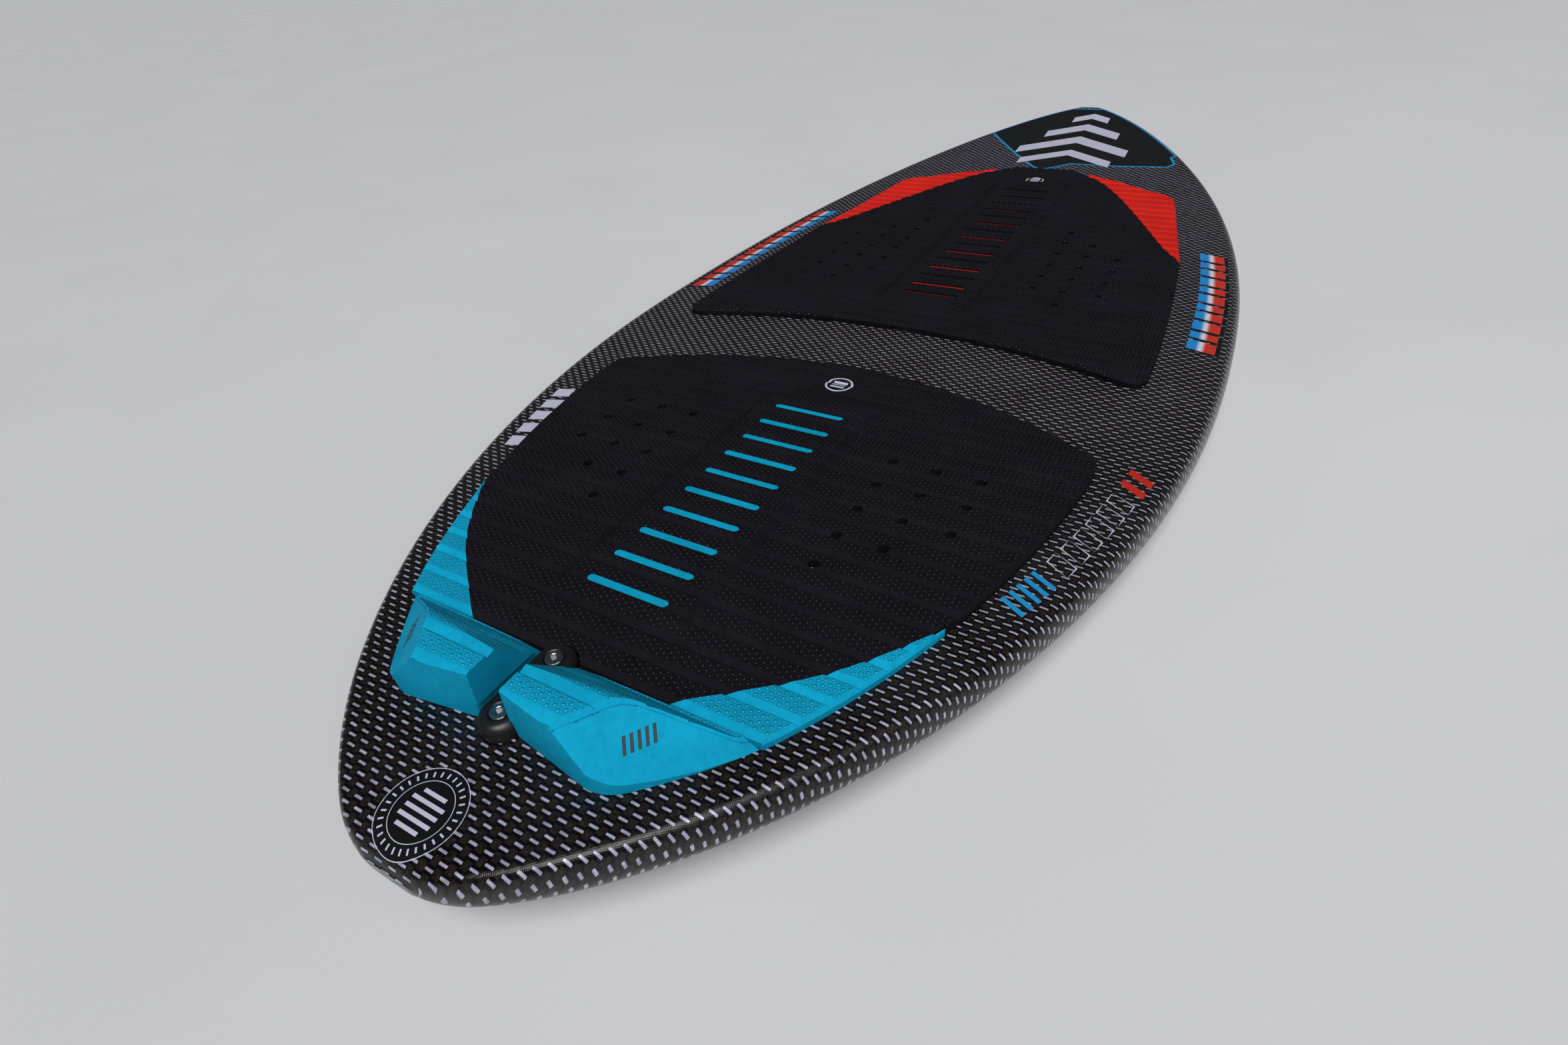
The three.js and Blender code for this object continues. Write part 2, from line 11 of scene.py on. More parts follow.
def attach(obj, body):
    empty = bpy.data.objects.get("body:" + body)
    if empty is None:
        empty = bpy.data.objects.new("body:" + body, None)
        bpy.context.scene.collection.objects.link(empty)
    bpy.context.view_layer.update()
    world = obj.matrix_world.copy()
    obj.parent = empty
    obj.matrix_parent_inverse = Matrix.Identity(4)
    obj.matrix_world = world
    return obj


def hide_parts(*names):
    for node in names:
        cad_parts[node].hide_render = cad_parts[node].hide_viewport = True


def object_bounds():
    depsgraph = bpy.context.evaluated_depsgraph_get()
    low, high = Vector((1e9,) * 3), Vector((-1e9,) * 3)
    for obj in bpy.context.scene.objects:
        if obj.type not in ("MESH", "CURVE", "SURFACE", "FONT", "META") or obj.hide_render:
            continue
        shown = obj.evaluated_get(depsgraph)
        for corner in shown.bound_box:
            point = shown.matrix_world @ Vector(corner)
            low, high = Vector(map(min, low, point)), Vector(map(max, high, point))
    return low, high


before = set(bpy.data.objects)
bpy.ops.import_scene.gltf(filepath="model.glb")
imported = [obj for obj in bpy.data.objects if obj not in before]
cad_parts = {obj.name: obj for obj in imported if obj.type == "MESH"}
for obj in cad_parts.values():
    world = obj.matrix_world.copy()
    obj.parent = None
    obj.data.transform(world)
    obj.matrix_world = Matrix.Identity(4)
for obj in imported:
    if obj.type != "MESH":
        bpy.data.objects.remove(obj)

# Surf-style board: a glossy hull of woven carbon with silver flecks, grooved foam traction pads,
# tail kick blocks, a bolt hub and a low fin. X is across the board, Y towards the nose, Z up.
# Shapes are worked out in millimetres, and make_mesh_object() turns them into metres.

cad_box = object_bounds()
MM = 0.001

# ---------------------------------------------------------------- driving dimensions

HALF_LENGTH = 684
HALF_WIDTH = 275.8
WIDE_POINT_Y = -43.9
NOSE_CURVE = {"length": 728, "along": 2.24, "across": 1.38}
TAIL_CURVE = {"length": 646.5, "along": 2.22, "across": 1.549}

DECK_HEIGHT = 32.7
TAIL_LIFT = 0.04  # slope of the flat rear deck, radians
NOSE_RISE = {"start": -190, "length": 874, "height": 61.4, "power": 2.7}
TAIL_DIP = {"start": -615, "length": 69, "height": 4}
DECK_CROWN = 1.5
BELLY_FLAT = {"rear": -80, "front": 200}
BELLY_TAIL = {"slope": 0.052, "blend": 60}
BELLY_NOSE = {"height": 50.7, "power": 2}

RAIL_TOP = {"width": 13, "power": 2.8}
RAIL_BOTTOM = {"width": 22, "power": 2.2}
END_ROUND = {"length": 15, "power": 2.3, "least": 0.35}  # the tips thin down over this length
TAIL_CORNER = 9

RAIL_CURVE = 2.81e-4  # how fast the rail turns in on either side of the widest point

GAP = 0.3
PAD = 6
EDGE_SLOPE = 2.2  # the pads' cut edges slope in over this much
BAR_RISE = 3
BAR_SHOULDER = {"inner": 38, "outer": 52, "end": 14}
INSERT = {"half_width": 40, "thickness": 3, "rise": {"rear": 7.8, "front": 6.5}}
SLOT = {"half_length": 28.9, "width": 5.5, "pitch": 24.62}
SLOTS = {"rear": {"count": 10, "first": -289}, "front": {"count": 15, "first": 313.7}}
BARS = {"rear": {"front": -262, "rear": -524}, "front": {"front": 352, "rear": -66}}
REAR_PAD = {"front": -200.8, "rear": -564, "arch": 375, "corner": 196}
FRONT_PAD = {"rear": -105.5, "front": 409.6, "arch": 600, "corner": 200}

RIB = {"pitch": 16.44, "depth": 1.7, "strip": 4.6}  # one cut groove, then a plain sloping strip
RIB_PHASE = {"rear": -284.8, "front": 317.9}  # a groove line on each pad
DOT = {"pitch": 3.85, "radius": 1.05}

# The right kick block: its outline as (x, y), its ramp and top as (y, height above the deck), and
# its flat faces as planes through points (x, y, height above the deck).
KICK = {
    "outline": ((10.6, -566.5), (119, -564.5), (79.5, -609), (60, -617.3), (10.6, -610)),
    "bends": ((100, -590), (71, -617.3)),
    "ramp": ((-560, 6.0), (-566.5, 6.3), (-568, 7.6), (-572.8, 14.6), (-577.6, 21.6), (-582.3, 29.0),
             (-585, 31.6), (-588, 33.0), (-591, 33.3), (-607, 33.1), (-640, 32.6)),
    "facet": ((62, -588.5, 31.8), (45, -613, 31.5), (94, -591.5, 4.5)),
    "rear_face": ((10.6, -611, 2), (60, -617.8, 0), (40, -612.5, 32)),
    "hub_side": ((10.6, -589.5, 31.4), (10.6, -567.8, 6.3), (21.6, -566.5, 6)),
    "groove": -596.4,
    "ramp_grooves": (-574.5, -580.8),
    "strip": 6.2,
    "climb": 0.53,
}

HARDWARE_Y = -589
BOLT_SPACING = 38
BOLT = {"shank": 6, "head": 10, "head_height": 3.4, "length": 52.5, "recess": 4.4, "recess_depth": 2}
SEAL_HEIGHT = 1.6
HUB = {"radius": 11.7, "base": 1.5, "top": 10.4, "round": 5}
SLEEVE = {"outer": 10, "inner": 6.8}
BOARD_AT_FIN = 31.8
GASKET = 0.9
FIN = {"plate_width": 19, "plate_length": 76, "plate": 4.2, "depth": 20.4, "thickness": 6.4, "boss": 14}
FIN_INSERT = {"outer": 9, "height": 9}

# ---------------------------------------------------------------- the board's surfaces


def outline_half_width(y):
    y = np.asarray(y, float)
    ahead = y > WIDE_POINT_Y
    length, along, across = (np.where(ahead, NOSE_CURVE[key], TAIL_CURVE[key]) for key in NOSE_CURVE)
    t = np.minimum(1, abs(y - WIDE_POINT_Y) / length)
    return HALF_WIDTH * np.maximum(0, 1 - t**along) ** (1 / across)


def deck_height(y):
    nose = np.maximum(0, y - NOSE_RISE["start"]) / NOSE_RISE["length"]
    tail = np.maximum(0, TAIL_DIP["start"] - y) / TAIL_DIP["length"]
    rise = NOSE_RISE["height"] * nose ** NOSE_RISE["power"]
    return DECK_HEIGHT - TAIL_LIFT * y + rise - TAIL_DIP["height"] * tail**2


def belly_height(y):
    behind = np.maximum(0, BELLY_FLAT["rear"] - y)
    ahead = np.maximum(0, y - BELLY_FLAT["front"]) / (HALF_LENGTH - BELLY_FLAT["front"])
    tail = BELLY_TAIL["slope"] * (np.hypot(behind, BELLY_TAIL["blend"]) - BELLY_TAIL["blend"])
    return tail + BELLY_NOSE["height"] * ahead ** BELLY_NOSE["power"]


def deck_at(x, y):
    return deck_height(y) - DECK_CROWN * (x / HALF_WIDTH) ** 2


def end_factor(y):
    """How much of the full thickness is left this close to a tip."""
    distance = np.clip((HALF_LENGTH - abs(np.asarray(y, float))) / END_ROUND["length"], 0, 1)
    power = END_ROUND["power"]
    return np.maximum(END_ROUND["least"], (1 - (1 - distance) ** power) ** (1 / power))


def hull_half_width(y):
    """The outline with its square tail corners rounded in plan."""
    corner = np.clip((HALF_LENGTH + np.asarray(y, float)) / TAIL_CORNER, 0, 1)
    rounded = TAIL_CORNER * (1 - np.sqrt(1 - (1 - corner) ** 2))
    return np.maximum(1.2, outline_half_width(y) - rounded)


def hull_section(y):
    """The hull's middle height and half thickness at y, and the widths of its rounded edges."""
    half = hull_half_width(y)
    middle = (deck_height(y) + belly_height(y)) / 2
    rise = (deck_height(y) - belly_height(y)) / 2 * end_factor(y)
    top_width = np.minimum(RAIL_TOP["width"], half * 0.5)
    bottom_width = np.minimum(RAIL_BOTTOM["width"], half * 0.6)
    return half, middle, rise, top_width, bottom_width


def hull_top(x, y):
    """The laminate's upper surface, with the rounding towards the rails."""
    half, middle, rise, width, _ = hull_section(y)
    beyond = np.clip((abs(x) - (half - width)) / width, 0, 1)
    power = RAIL_TOP["power"]
    fraction = np.maximum(0, 1 - beyond**power) ** (1 / power)
    return middle + (rise - DECK_CROWN * (x / HALF_WIDTH) ** 2) * fraction


# ---------------------------------------------------------------- mesh helpers


def add_object(name, data):
    made = bpy.data.objects.new(name, data)
    bpy.context.scene.collection.objects.link(made)
    return made


def make_mesh_object(name, vertices, faces):
    """A mesh object in metres, from vertices in millimetres, with its faces turned outwards."""
    mesh = bpy.data.meshes.new(name)
    mesh.from_pydata((np.asarray(vertices, float) * MM).tolist(), [], faces)
    edit = bmesh.new()
    edit.from_mesh(mesh)
    bmesh.ops.recalc_face_normals(edit, faces=edit.faces)
    edit.to_mesh(mesh)
    edit.free()
    return add_object(name, mesh)


def combine(target, tool, operation):
    """Cuts, joins or intersects target with tool, which is used up."""
    modifier = target.modifiers.new("combine", "BOOLEAN")
    modifier.operation = operation
    modifier.solver = "MANIFOLD"
    modifier.object = tool
    bpy.context.view_layer.update()
    evaluated = target.evaluated_get(bpy.context.evaluated_depsgraph_get())
    mesh = bpy.data.meshes.new_from_object(evaluated)
    target.modifiers.clear()
    target.data = mesh
    bpy.data.objects.remove(tool)
    return target


def cut(target, *tools):
    for tool in tools:
        combine(target, tool, "DIFFERENCE")
    return target


def crease(target, angle=32):
    """Smooth shading with crisp edges wherever the surface turns by more than angle degrees."""
    edit = bmesh.new()
    edit.from_mesh(target.data)
    bmesh.ops.dissolve_degenerate(edit, edges=edit.edges, dist=2e-6)
    for face in edit.faces:
        face.smooth = True
    for edge in edit.edges:
        edge.smooth = len(edge.link_faces) == 2 and edge.calc_face_angle(pi) < radians(angle)
    edit.to_mesh(target.data)
    edit.free()
    return target


def mirrored(source, name):
    """A copy of source reflected to the other side of the board."""
    copy = add_object(name, source.data.copy())
    copy.data.transform(Matrix.Scale(-1, 4, Vector((1, 0, 0))))
    copy.data.flip_normals()
    return copy


def loft_faces(rows, size):
    faces = []
    for row in range(rows - 1):
        for i in range(size):
            a, b = row * size + i, row * size + (i + 1) % size
            faces.append((a, b, b + size, a + size))
    return faces + [tuple(range(size)), tuple(range((rows - 1) * size, rows * size))]


def loft(name, rings):
    """A closed skin over a row of equal rings of points."""
    rings = np.asarray(rings, float)
    return make_mesh_object(name, rings.reshape(-1, 3), loft_faces(*rings.shape[:2]))


def layer(name, xs, ys, top, bottom):
    """A closed slab over a grid, between two surfaces given as functions of x and y."""
    grid_x, grid_y = np.meshgrid(xs, ys)
    upper = np.stack([grid_x, grid_y, top(grid_x, grid_y)], -1).reshape(-1, 3)
    lower = np.stack([grid_x, grid_y, bottom(grid_x, grid_y)], -1).reshape(-1, 3)
    nx, ny = len(xs), len(ys)
    faces = []
    for j in range(ny - 1):
        for i in range(nx - 1):
            a = j * nx + i
            quad = (a, a + 1, a + 1 + nx, a + nx)
            faces.append(quad)
            faces.append(tuple(v + nx * ny for v in reversed(quad)))
    rim = [*range(nx), *range(2 * nx - 1, nx * ny, nx), *range(nx * ny - 2, nx * (ny - 1) - 1, -1)]
    rim += [*range(nx * (ny - 2), 0, -nx)]
    for a, b in zip(rim, rim[1:] + rim[:1]):
        faces.append((b, a, a + nx * ny, b + nx * ny))
    return make_mesh_object(name, np.concatenate([upper, lower]), faces)


def inset_outline(outline, amount, fade=18):
    """The outline moved inwards by amount, less so close to its sharp tips."""
    points = np.asarray(outline, float)
    before = points - np.roll(points, 1, 0)
    after = np.roll(points, -1, 0) - points
    before /= np.linalg.norm(before, axis=1, keepdims=True)
    after /= np.linalg.norm(after, axis=1, keepdims=True)
    turn = np.arctan2(before[:, 0] * after[:, 1] - before[:, 1] * after[:, 0], (before * after).sum(1))
    direction = 1 if turn.sum() > 0 else -1
    normal = np.stack([-(before + after)[:, 1], (before + after)[:, 0]], 1)
    normal /= np.maximum(1e-6, np.linalg.norm(normal, axis=1, keepdims=True))
    miter = 1 / np.maximum(0.55, np.cos(turn / 2))
    tips = points[direction * turn > radians(100)]
    share = np.ones(len(points))
    for tip in tips:
        share = np.minimum(share, np.linalg.norm(points - tip, axis=1) / fade)
    return points + direction * normal * (amount * miter * share)[:, None]


TOOL_LOW, TOOL_HIGH = -60, 300  # the ends of the cutting tools, clear of the board


def edge_prism(name, outline, levels):
    """A closed body over outline whose wall goes through levels, a list of (inset, height) above
    the deck, and then straight up to a flat top."""
    rings = []
    for inset, height in levels:
        ring = inset_outline(outline, inset)
        rings.append(np.column_stack([ring, deck_at(ring[:, 0], ring[:, 1]) + height]))
    floor, roof = rings[0].copy(), rings[-1].copy()
    floor[:, 2], roof[:, 2] = TOOL_LOW, TOOL_HIGH
    return loft(name, [floor, *rings, roof])


def straight_prism(name, outline, low=TOOL_LOW, high=TOOL_HIGH):
    points = np.asarray(outline, float)
    return loft(name, [np.column_stack([points, np.full(len(points), z)]) for z in (low, high)])


def joined(pieces):
    """One mesh object from several that don't touch."""
    edit = bmesh.new()
    for piece in pieces:
        edit.from_mesh(piece.data)
    edit.to_mesh(pieces[0].data)
    edit.free()
    for piece in pieces[1:]:
        bpy.data.objects.remove(piece)
    return pieces[0]


def arc(centre, radius, start, end, count=12):
    """Points along an arc; the angles are in degrees."""
    angles = np.radians(np.linspace(start, end, count + 1))
    return [(centre[0] + radius * cos(a), centre[1] + radius * sin(a)) for a in angles]


def circle(centre, radius, count=48):
    return arc(centre, radius, 0, 360, count)[:-1]


def rectangle(low_x, low_y, high_x, high_y):
    return [(low_x, low_y), (high_x, low_y), (high_x, high_y), (low_x, high_y)]


def obround(half_span, radius, count=14, along="y", centre=(0, 0)):
    """A slot shape: two half circles joined by straight sides."""
    points = arc((0, half_span), radius, 0, 180, count) + arc((0, -half_span), radius, 180, 360, count)
    if along == "x":
        points = [(-y, x) for x, y in points]
    return [(x + centre[0], y + centre[1]) for x, y in points]


def smooth_curve(points, steps=7):
    """A smooth open curve through the points."""
    padded = [points[0], *points, points[-1]]
    curve = []
    for i in range(1, len(padded) - 2):
        p0, p1, p2, p3 = (np.array(p, float) for p in padded[i - 1:i + 3])
        for step in range(steps):
            t = step / steps
            curve.append(tuple(0.5 * (
                2 * p1 + (p2 - p0) * t + (2 * p0 - 5 * p1 + 4 * p2 - p3) * t**2
                + (3 * p1 - p0 - 3 * p2 + p3) * t**3
            )))
    return [*curve, tuple(points[-1])]


def spread(start, end, step):
    return np.linspace(start, end, max(2, ceil(abs(end - start) / step) + 1))


# ---------------------------------------------------------------- shader helpers


class Field:
    """A number or colour in a material's node tree that plain arithmetic works on."""

    def __init__(self, tree, socket):
        self.tree, self.socket = tree, socket

    def math(self, operation, *others):
        node = self.tree.nodes.new("ShaderNodeMath")
        node.operation = operation
        for slot, value in zip(node.inputs, (self, *others)):
            connect(self.tree, value, slot)
        return Field(self.tree, node.outputs[0])

    __add__ = partialmethod(math, "ADD")
    __sub__ = partialmethod(math, "SUBTRACT")
    __mul__ = partialmethod(math, "MULTIPLY")
    __truediv__ = partialmethod(math, "DIVIDE")
    size = partialmethod(math, "ABSOLUTE")
    least = partialmethod(math, "MINIMUM")
    most = partialmethod(math, "MAXIMUM")
    rounded = partialmethod(math, "ROUND")

    def wrapped(self, period):
        """Between minus and plus half a period."""
        return self.math("WRAP", period / 2, -period / 2)

    def step(self, start, end):
        """0 at start, 1 at end, and smooth between them."""
        node = self.tree.nodes.new("ShaderNodeMapRange")
        node.interpolation_type = "SMOOTHSTEP"
        connect(self.tree, self, node.inputs["Value"])
        node.inputs["From Min"].default_value = start
        node.inputs["From Max"].default_value = end
        return Field(self.tree, node.outputs["Result"])


def connect(tree, value, slot):
    if isinstance(value, Field):
        tree.links.new(value.socket, slot)
    elif isinstance(value, tuple):
        slot.default_value = (*value, 1)[:len(slot.default_value)]
    else:
        slot.default_value = value


def length_of(x, y):
    return (x * x + y * y).math("SQRT")


MATERIALS = {}  # by name, filled as they are made


class Shader:
    """A material under construction, with a Principled surface."""

    def __init__(self, name):
        self.material = MATERIALS[name] = bpy.data.materials.new(name)
        self.material.use_nodes = True
        self.tree = self.material.node_tree
        self.surface = self.tree.nodes["Principled BSDF"]

    def node(self, kind, **inputs):
        """A new node with numbers, colours or fields in its named inputs."""
        made = self.tree.nodes.new("ShaderNode" + kind)
        for name, value in inputs.items():
            connect(self.tree, value, made.inputs[name])
        return made

    def split(self, socket, scale):
        node = self.node("SeparateXYZ")
        self.tree.links.new(socket, node.inputs[0])
        return [Field(self.tree, output) * scale for output in node.outputs]

    def place(self):
        """The place in the board's frame, in millimetres, as three fields."""
        return self.split(self.node("TexCoord").outputs["Object"], 1 / MM)

    def facing(self):
        """The face's own outward direction, as three fields."""
        return self.split(self.node("NewGeometry").outputs["True Normal"], 1)

    def laid(self):
        """The distances round the hull's section and along it, in millimetres."""
        return self.split(self.node("UVMap").outputs["UV"], 1)[:2]

    def noise(self, x, y, z, detail=3):
        """Noise from about 0 to 1, over coordinates already divided by the grain's size."""
        joint = self.node("CombineXYZ", X=x, Y=y, Z=z)
        node = self.node("TexNoise", Scale=1, Detail=detail)
        self.tree.links.new(joint.outputs[0], node.inputs["Vector"])
        return Field(self.tree, node.outputs["Fac"])

    def grain(self, size, detail=3):
        """Noise with grains of one size, in millimetres."""
        x, y, z = self.place()
        return self.noise(x / size, y / size, z / size, detail)

    def mix(self, share, first, second):
        node = self.node("Mix")
        node.data_type = "RGBA"
        for slot, value in ((0, share), (6, first), (7, second)):
            connect(self.tree, value, node.inputs[slot])
        return Field(self.tree, node.outputs[2])

    def set(self, **values):
        for name, value in values.items():
            connect(self.tree, value, self.surface.inputs[name.replace("_", " ")])

    def bump(self, height, depth):
        """Relief from a height field between 0 and 1 that stands for depth millimetres."""
        node = self.node("Bump", Strength=1, Distance=depth * MM, Height=height)
        self.tree.links.new(node.outputs["Normal"], self.surface.inputs["Normal"])


# ---------------------------------------------------------------- materials

WEAVE = {"across": 9.36, "along": 8.4, "texture": (1.17, 1.05)}
FLECK = {"length": 4.8, "width": 1.3, "corner": 0.3, "blur": 0.16}


def woven_carbon():
    """Black woven tows under a clear coat. Every second crossing shows a short silver thread."""
    shader = Shader("woven_carbon")
    u, v = shader.laid()
    row = (v / (WEAVE["along"] / 2)).rounded()
    staggered = u + row * (WEAVE["across"] / 2)
    across = staggered.wrapped(WEAVE["across"])
    along = v - row * (WEAVE["along"] / 2)
    waver = (shader.noise(u / 5, v / 5, 0.0) - 0.5) * 1.1
    corner, blur = FLECK["corner"], FLECK["blur"]
    beyond_x = ((across + waver * 0.6).size() - (FLECK["length"] / 2 - corner)).most(0.0)
    beyond_y = ((along + waver * 0.5).size() - (FLECK["width"] / 2 - corner)).most(0.0)
    fleck = length_of(beyond_x, beyond_y).step(corner + blur, corner - blur)
    strands = shader.noise(u / 3.5, v / 0.16, 3.0, detail=1)
    arched = (along.size() / (FLECK["width"] / 2)).least(1.0)
    tow = (staggered + WEAVE["across"] / 2).wrapped(WEAVE["across"])
    crossing = tow.size().step(2.4, 1.2)
    fibre = shader.noise(u / 0.22, v / 3.0, 7.0)
    wash = shader.noise(u / 60, v / 60, 11.0)
    glint = shader.noise(u / 9, v / 5, 13.0, detail=1)
    waves = [(way * (2 * pi / step)).math("COSINE") for way, step in zip((u, v), WEAVE["texture"])]
    texture = waves[0] * waves[1]
    pinpoints = texture.step(0.55, 0.95) * wash.step(0.35, 0.75)
    tows = shader.mix(fibre.step(0.38, 0.75) * crossing, (0.0015, 0.0015, 0.002), (0.05, 0.036, 0.028))
    black = shader.mix(pinpoints * 0.5, tows, (0.12, 0.12, 0.16))
    # shine sets the silver threads' brightness: fibre streaks, random patches and glints, less painted shade
    # towards each thread's long edges, where its arch turns away from the light.
    shine = strands.step(0.3, 0.7) * 0.5 + glint.step(0.3, 0.7) * 0.35 + wash * 0.3 - arched * arched * 0.3
    silver = shader.mix(shine, (0.12, 0.12, 0.16), (0.62, 0.62, 0.78))
    shader.set(
        Base_Color=shader.mix(fleck, black, silver),
        Roughness=fleck * 0.1 + fibre * 0.2 + 0.3,
        Metallic=fleck * 0.25,
        Specular_IOR_Level=fleck * 0.3 + 0.05,
        Coat_Weight=0.55,
        Coat_Roughness=wash * 0.06 + 0.06,
        Coat_IOR=1.45,
    )
    shader.bump(tow.size().step(3.0, 0.5) * 0.3 + fleck * 0.35 + texture * 0.12, 0.2)
    relief = shader.surface.inputs["Normal"].links[0].from_socket
    shader.tree.links.new(relief, shader.surface.inputs["Coat Normal"])


def foam(name, dark, light, line, strip=RIB["strip"], climb=0.0):
    """Closed-cell foam with rows of small raised dots between the cut grooves, on faces that look up
    and along the board. line is the y of one groove; None leaves the foam plain. climb is the share
    of the height that the dots' spacing follows, which keeps them round on a ramp."""
    shader = Shader(name)
    x, y, z = shader.place()
    pores = shader.grain(0.35, detail=2)
    scuffs = shader.noise(x / 45, y / 30, z / 30, detail=5)
    tone = scuffs * 0.35 + shader.grain(4) * 0.2 + pores * 0.2
    relief = pores * 0.2
    skin = pores * 0.0
    if line is not None:
        pitch, radius, ribs = DOT["pitch"], DOT["radius"], RIB["pitch"]
        column_width = pitch * cos(radians(30))
        column = (x / column_width).rounded()
        along = (y - z * climb + column * (pitch / 2)).wrapped(pitch)
        distance = length_of(x - column * column_width, along)
        facing_x, _, facing_z = shader.facing()
        upward = facing_x.size().step(0.3, 0.2) * facing_z.step(0.25, 0.4)
        phase = (y - (line + ribs / 2)).wrapped(ribs) + ribs / 2
        # The plain strip that slopes up behind each groove is painted lighter: a painted highlight where it
        # faces the light.
        painted_strip_light = phase.step(strip + 0.6, strip) * phase.step(0.4, 1.2) * upward
        band = phase.step(strip + 0.4, strip + 1.2) * phase.step(ribs - 0.2, ribs - 0.9) * upward
        skin = distance.step(radius, 0.2) * band
        # moat is the low ring round each dot: it is pressed in, and its colour is also darkened as painted
        # shade in that hollow.
        moat = (distance - radius * 1.1).size().step(0.35, 0.0) * band
        # groove is a thin line at each cut groove that is painted dark: painted shade in the groove's
        # crevice.
        groove = (y - line).wrapped(ribs).size().step(0.6, 0.25) * upward
        relief = relief + skin - moat * 0.3
        # The dots are painted lighter: a painted highlight on their raised tops. Their smoother skin, set
        # below, is real.
        tone = tone + skin * 0.2 + painted_strip_light * 0.08 - moat * 0.12 - groove * 0.8
    shader.set(
        Base_Color=shader.mix(tone.step(0.05, 0.85), dark, light),
        Roughness=pores * 0.15 - skin * 0.35 + 0.75,
        Specular_IOR_Level=skin * 0.6 + 0.12,
    )
    shader.bump(relief, 0.5)


def moulded(name, dark, light, roughness, grain, depth):
    """Moulded plastic or rubber with a fine grain of this size and depth."""
    shader = Shader(name)
    fine, broad = shader.grain(grain), shader.grain(20)
    shader.set(
        Base_Color=shader.mix(fine * 0.4 + broad * 0.6, dark, light),
        Roughness=broad * 0.15 + roughness,
    )
    shader.bump(fine, depth)


def turned_metal(name, dark, light, roughness):
    """Machined metal with fine rings left by the tool."""
    shader = Shader(name)
    x, y, z = shader.place()
    rings = shader.noise(z / 0.3, x / 12, y / 12, detail=1)
    stains = shader.grain(4)
    shader.set(
        Base_Color=shader.mix(rings * 0.3 + stains * 0.7, dark, light),
        Roughness=stains * 0.1 + roughness,
        Metallic=1.0,
    )
    shader.bump(rings, 0.01)


def printed_coat(shader, speckle, colour, **others):
    """The finish that all printed colours share, under the clear coat."""
    shader.set(
        Base_Color=colour, Roughness=speckle * 0.1 + 0.35, Coat_Weight=0.6, Coat_Roughness=0.04, **others
    )
    shader.bump(speckle, 0.05)


def ink(name, dark, light):
    """One printed colour, with the cloth's weave just showing through."""
    shader = Shader(name)
    speckle = shader.grain(0.5, detail=2)
    colour = shader.mix(speckle * 0.6 + shader.grain(25) * 0.4, dark, light)
    printed_coat(shader, speckle, colour, Specular_IOR_Level=0.2)


def graded_ink(name):
    """Ink that runs from blue through white to red as it nears the rail."""
    shader = Shader(name)
    x, y, _ = shader.place()
    speckle = shader.grain(0.5, detail=2)
    along = y - WIDE_POINT_Y
    inwards = along * along * -RAIL_CURVE + HALF_WIDTH - x.size() + (speckle - 0.5) * 2
    pale = shader.mix(inwards.step(27, 31), (0.72, 0.72, 0.8), (0.01, 0.26, 0.68))
    printed_coat(shader, speckle, shader.mix(inwards.step(27, 23), pale, (0.6, 0.03, 0.015)))


BLACK_FOAM = ((0.0006, 0.0006, 0.001), (0.013, 0.012, 0.02))
BLUE_FOAM = ((0.0, 0.2, 0.34), (0.004, 0.52, 0.84))
FOAMS = {
    "rear_black_foam": (*BLACK_FOAM, RIB_PHASE["rear"]),
    "front_black_foam": (*BLACK_FOAM, RIB_PHASE["front"]),
    "blue_foam": (*BLUE_FOAM, RIB_PHASE["rear"]),
    "kick_foam": (*BLUE_FOAM, KICK["groove"], KICK["strip"], KICK["climb"]),
    "plain_blue_foam": ((0.0, 0.2, 0.33), (0.004, 0.52, 0.84), None),
    "red_foam": ((0.42, 0.006, 0.004), (0.95, 0.03, 0.018), RIB_PHASE["front"]),
    "plain_red_foam": ((0.45, 0.008, 0.005), (0.95, 0.03, 0.018), None),
    "core_foam": ((0.62, 0.58, 0.49), (0.86, 0.82, 0.74), None),
}
MOULDINGS = {
    "resin_block": ((0.42, 0.32, 0.17), (0.6, 0.48, 0.29), 0.6, 1.5, 0.1),
    "black_plastic": ((0.004, 0.004, 0.005), (0.012, 0.011, 0.013), 0.28, 0.4, 0.02),
    "black_rubber": ((0.005, 0.005, 0.005), (0.016, 0.016, 0.017), 0.6, 0.5, 0.05),
    "fin_composite": ((0.006, 0.006, 0.007), (0.02, 0.02, 0.022), 0.3, 0.6, 0.03),
}
METALS = {
    "stainless_steel": ((0.3, 0.3, 0.31), (0.5, 0.5, 0.52), 0.22),
    "brass": ((0.42, 0.27, 0.08), (0.72, 0.5, 0.2), 0.25),
}
INKS = {
    "pale_ink": ((0.42, 0.42, 0.55), (0.66, 0.66, 0.8)),
    "dark_blue_ink": ((0.0, 0.012, 0.02), (0.002, 0.03, 0.045)),
    "black_ink": ((0.002, 0.002, 0.003), (0.007, 0.007, 0.009)),
    "blue_ink": ((0.005, 0.2, 0.45), (0.02, 0.35, 0.72)),
    "red_ink": ((0.4, 0.012, 0.008), (0.62, 0.03, 0.02)),
}


def make_materials():
    woven_carbon()
    graded_ink("graded_ink")
    for maker, looks in ((foam, FOAMS), (moulded, MOULDINGS), (turned_metal, METALS), (ink, INKS)):
        for name, look in looks.items():
            maker(name, *look)


def paint(piece, material):
    piece.data.materials.clear()
    piece.data.materials.append(MATERIALS[material])


def add_piece(piece, body, material, nodes=()):
    """Finishes a piece: its material, the body it rides on, and the CAD nodes it stands for."""
    paint(piece, material)
    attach(piece, body)
    if nodes:
        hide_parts(*nodes)
    return piece


def add_pad(piece, material, nodes):
    """A foam piece on the board."""
    add_piece(crease(piece), "board", material, nodes)


# ---------------------------------------------------------------- hardware frame

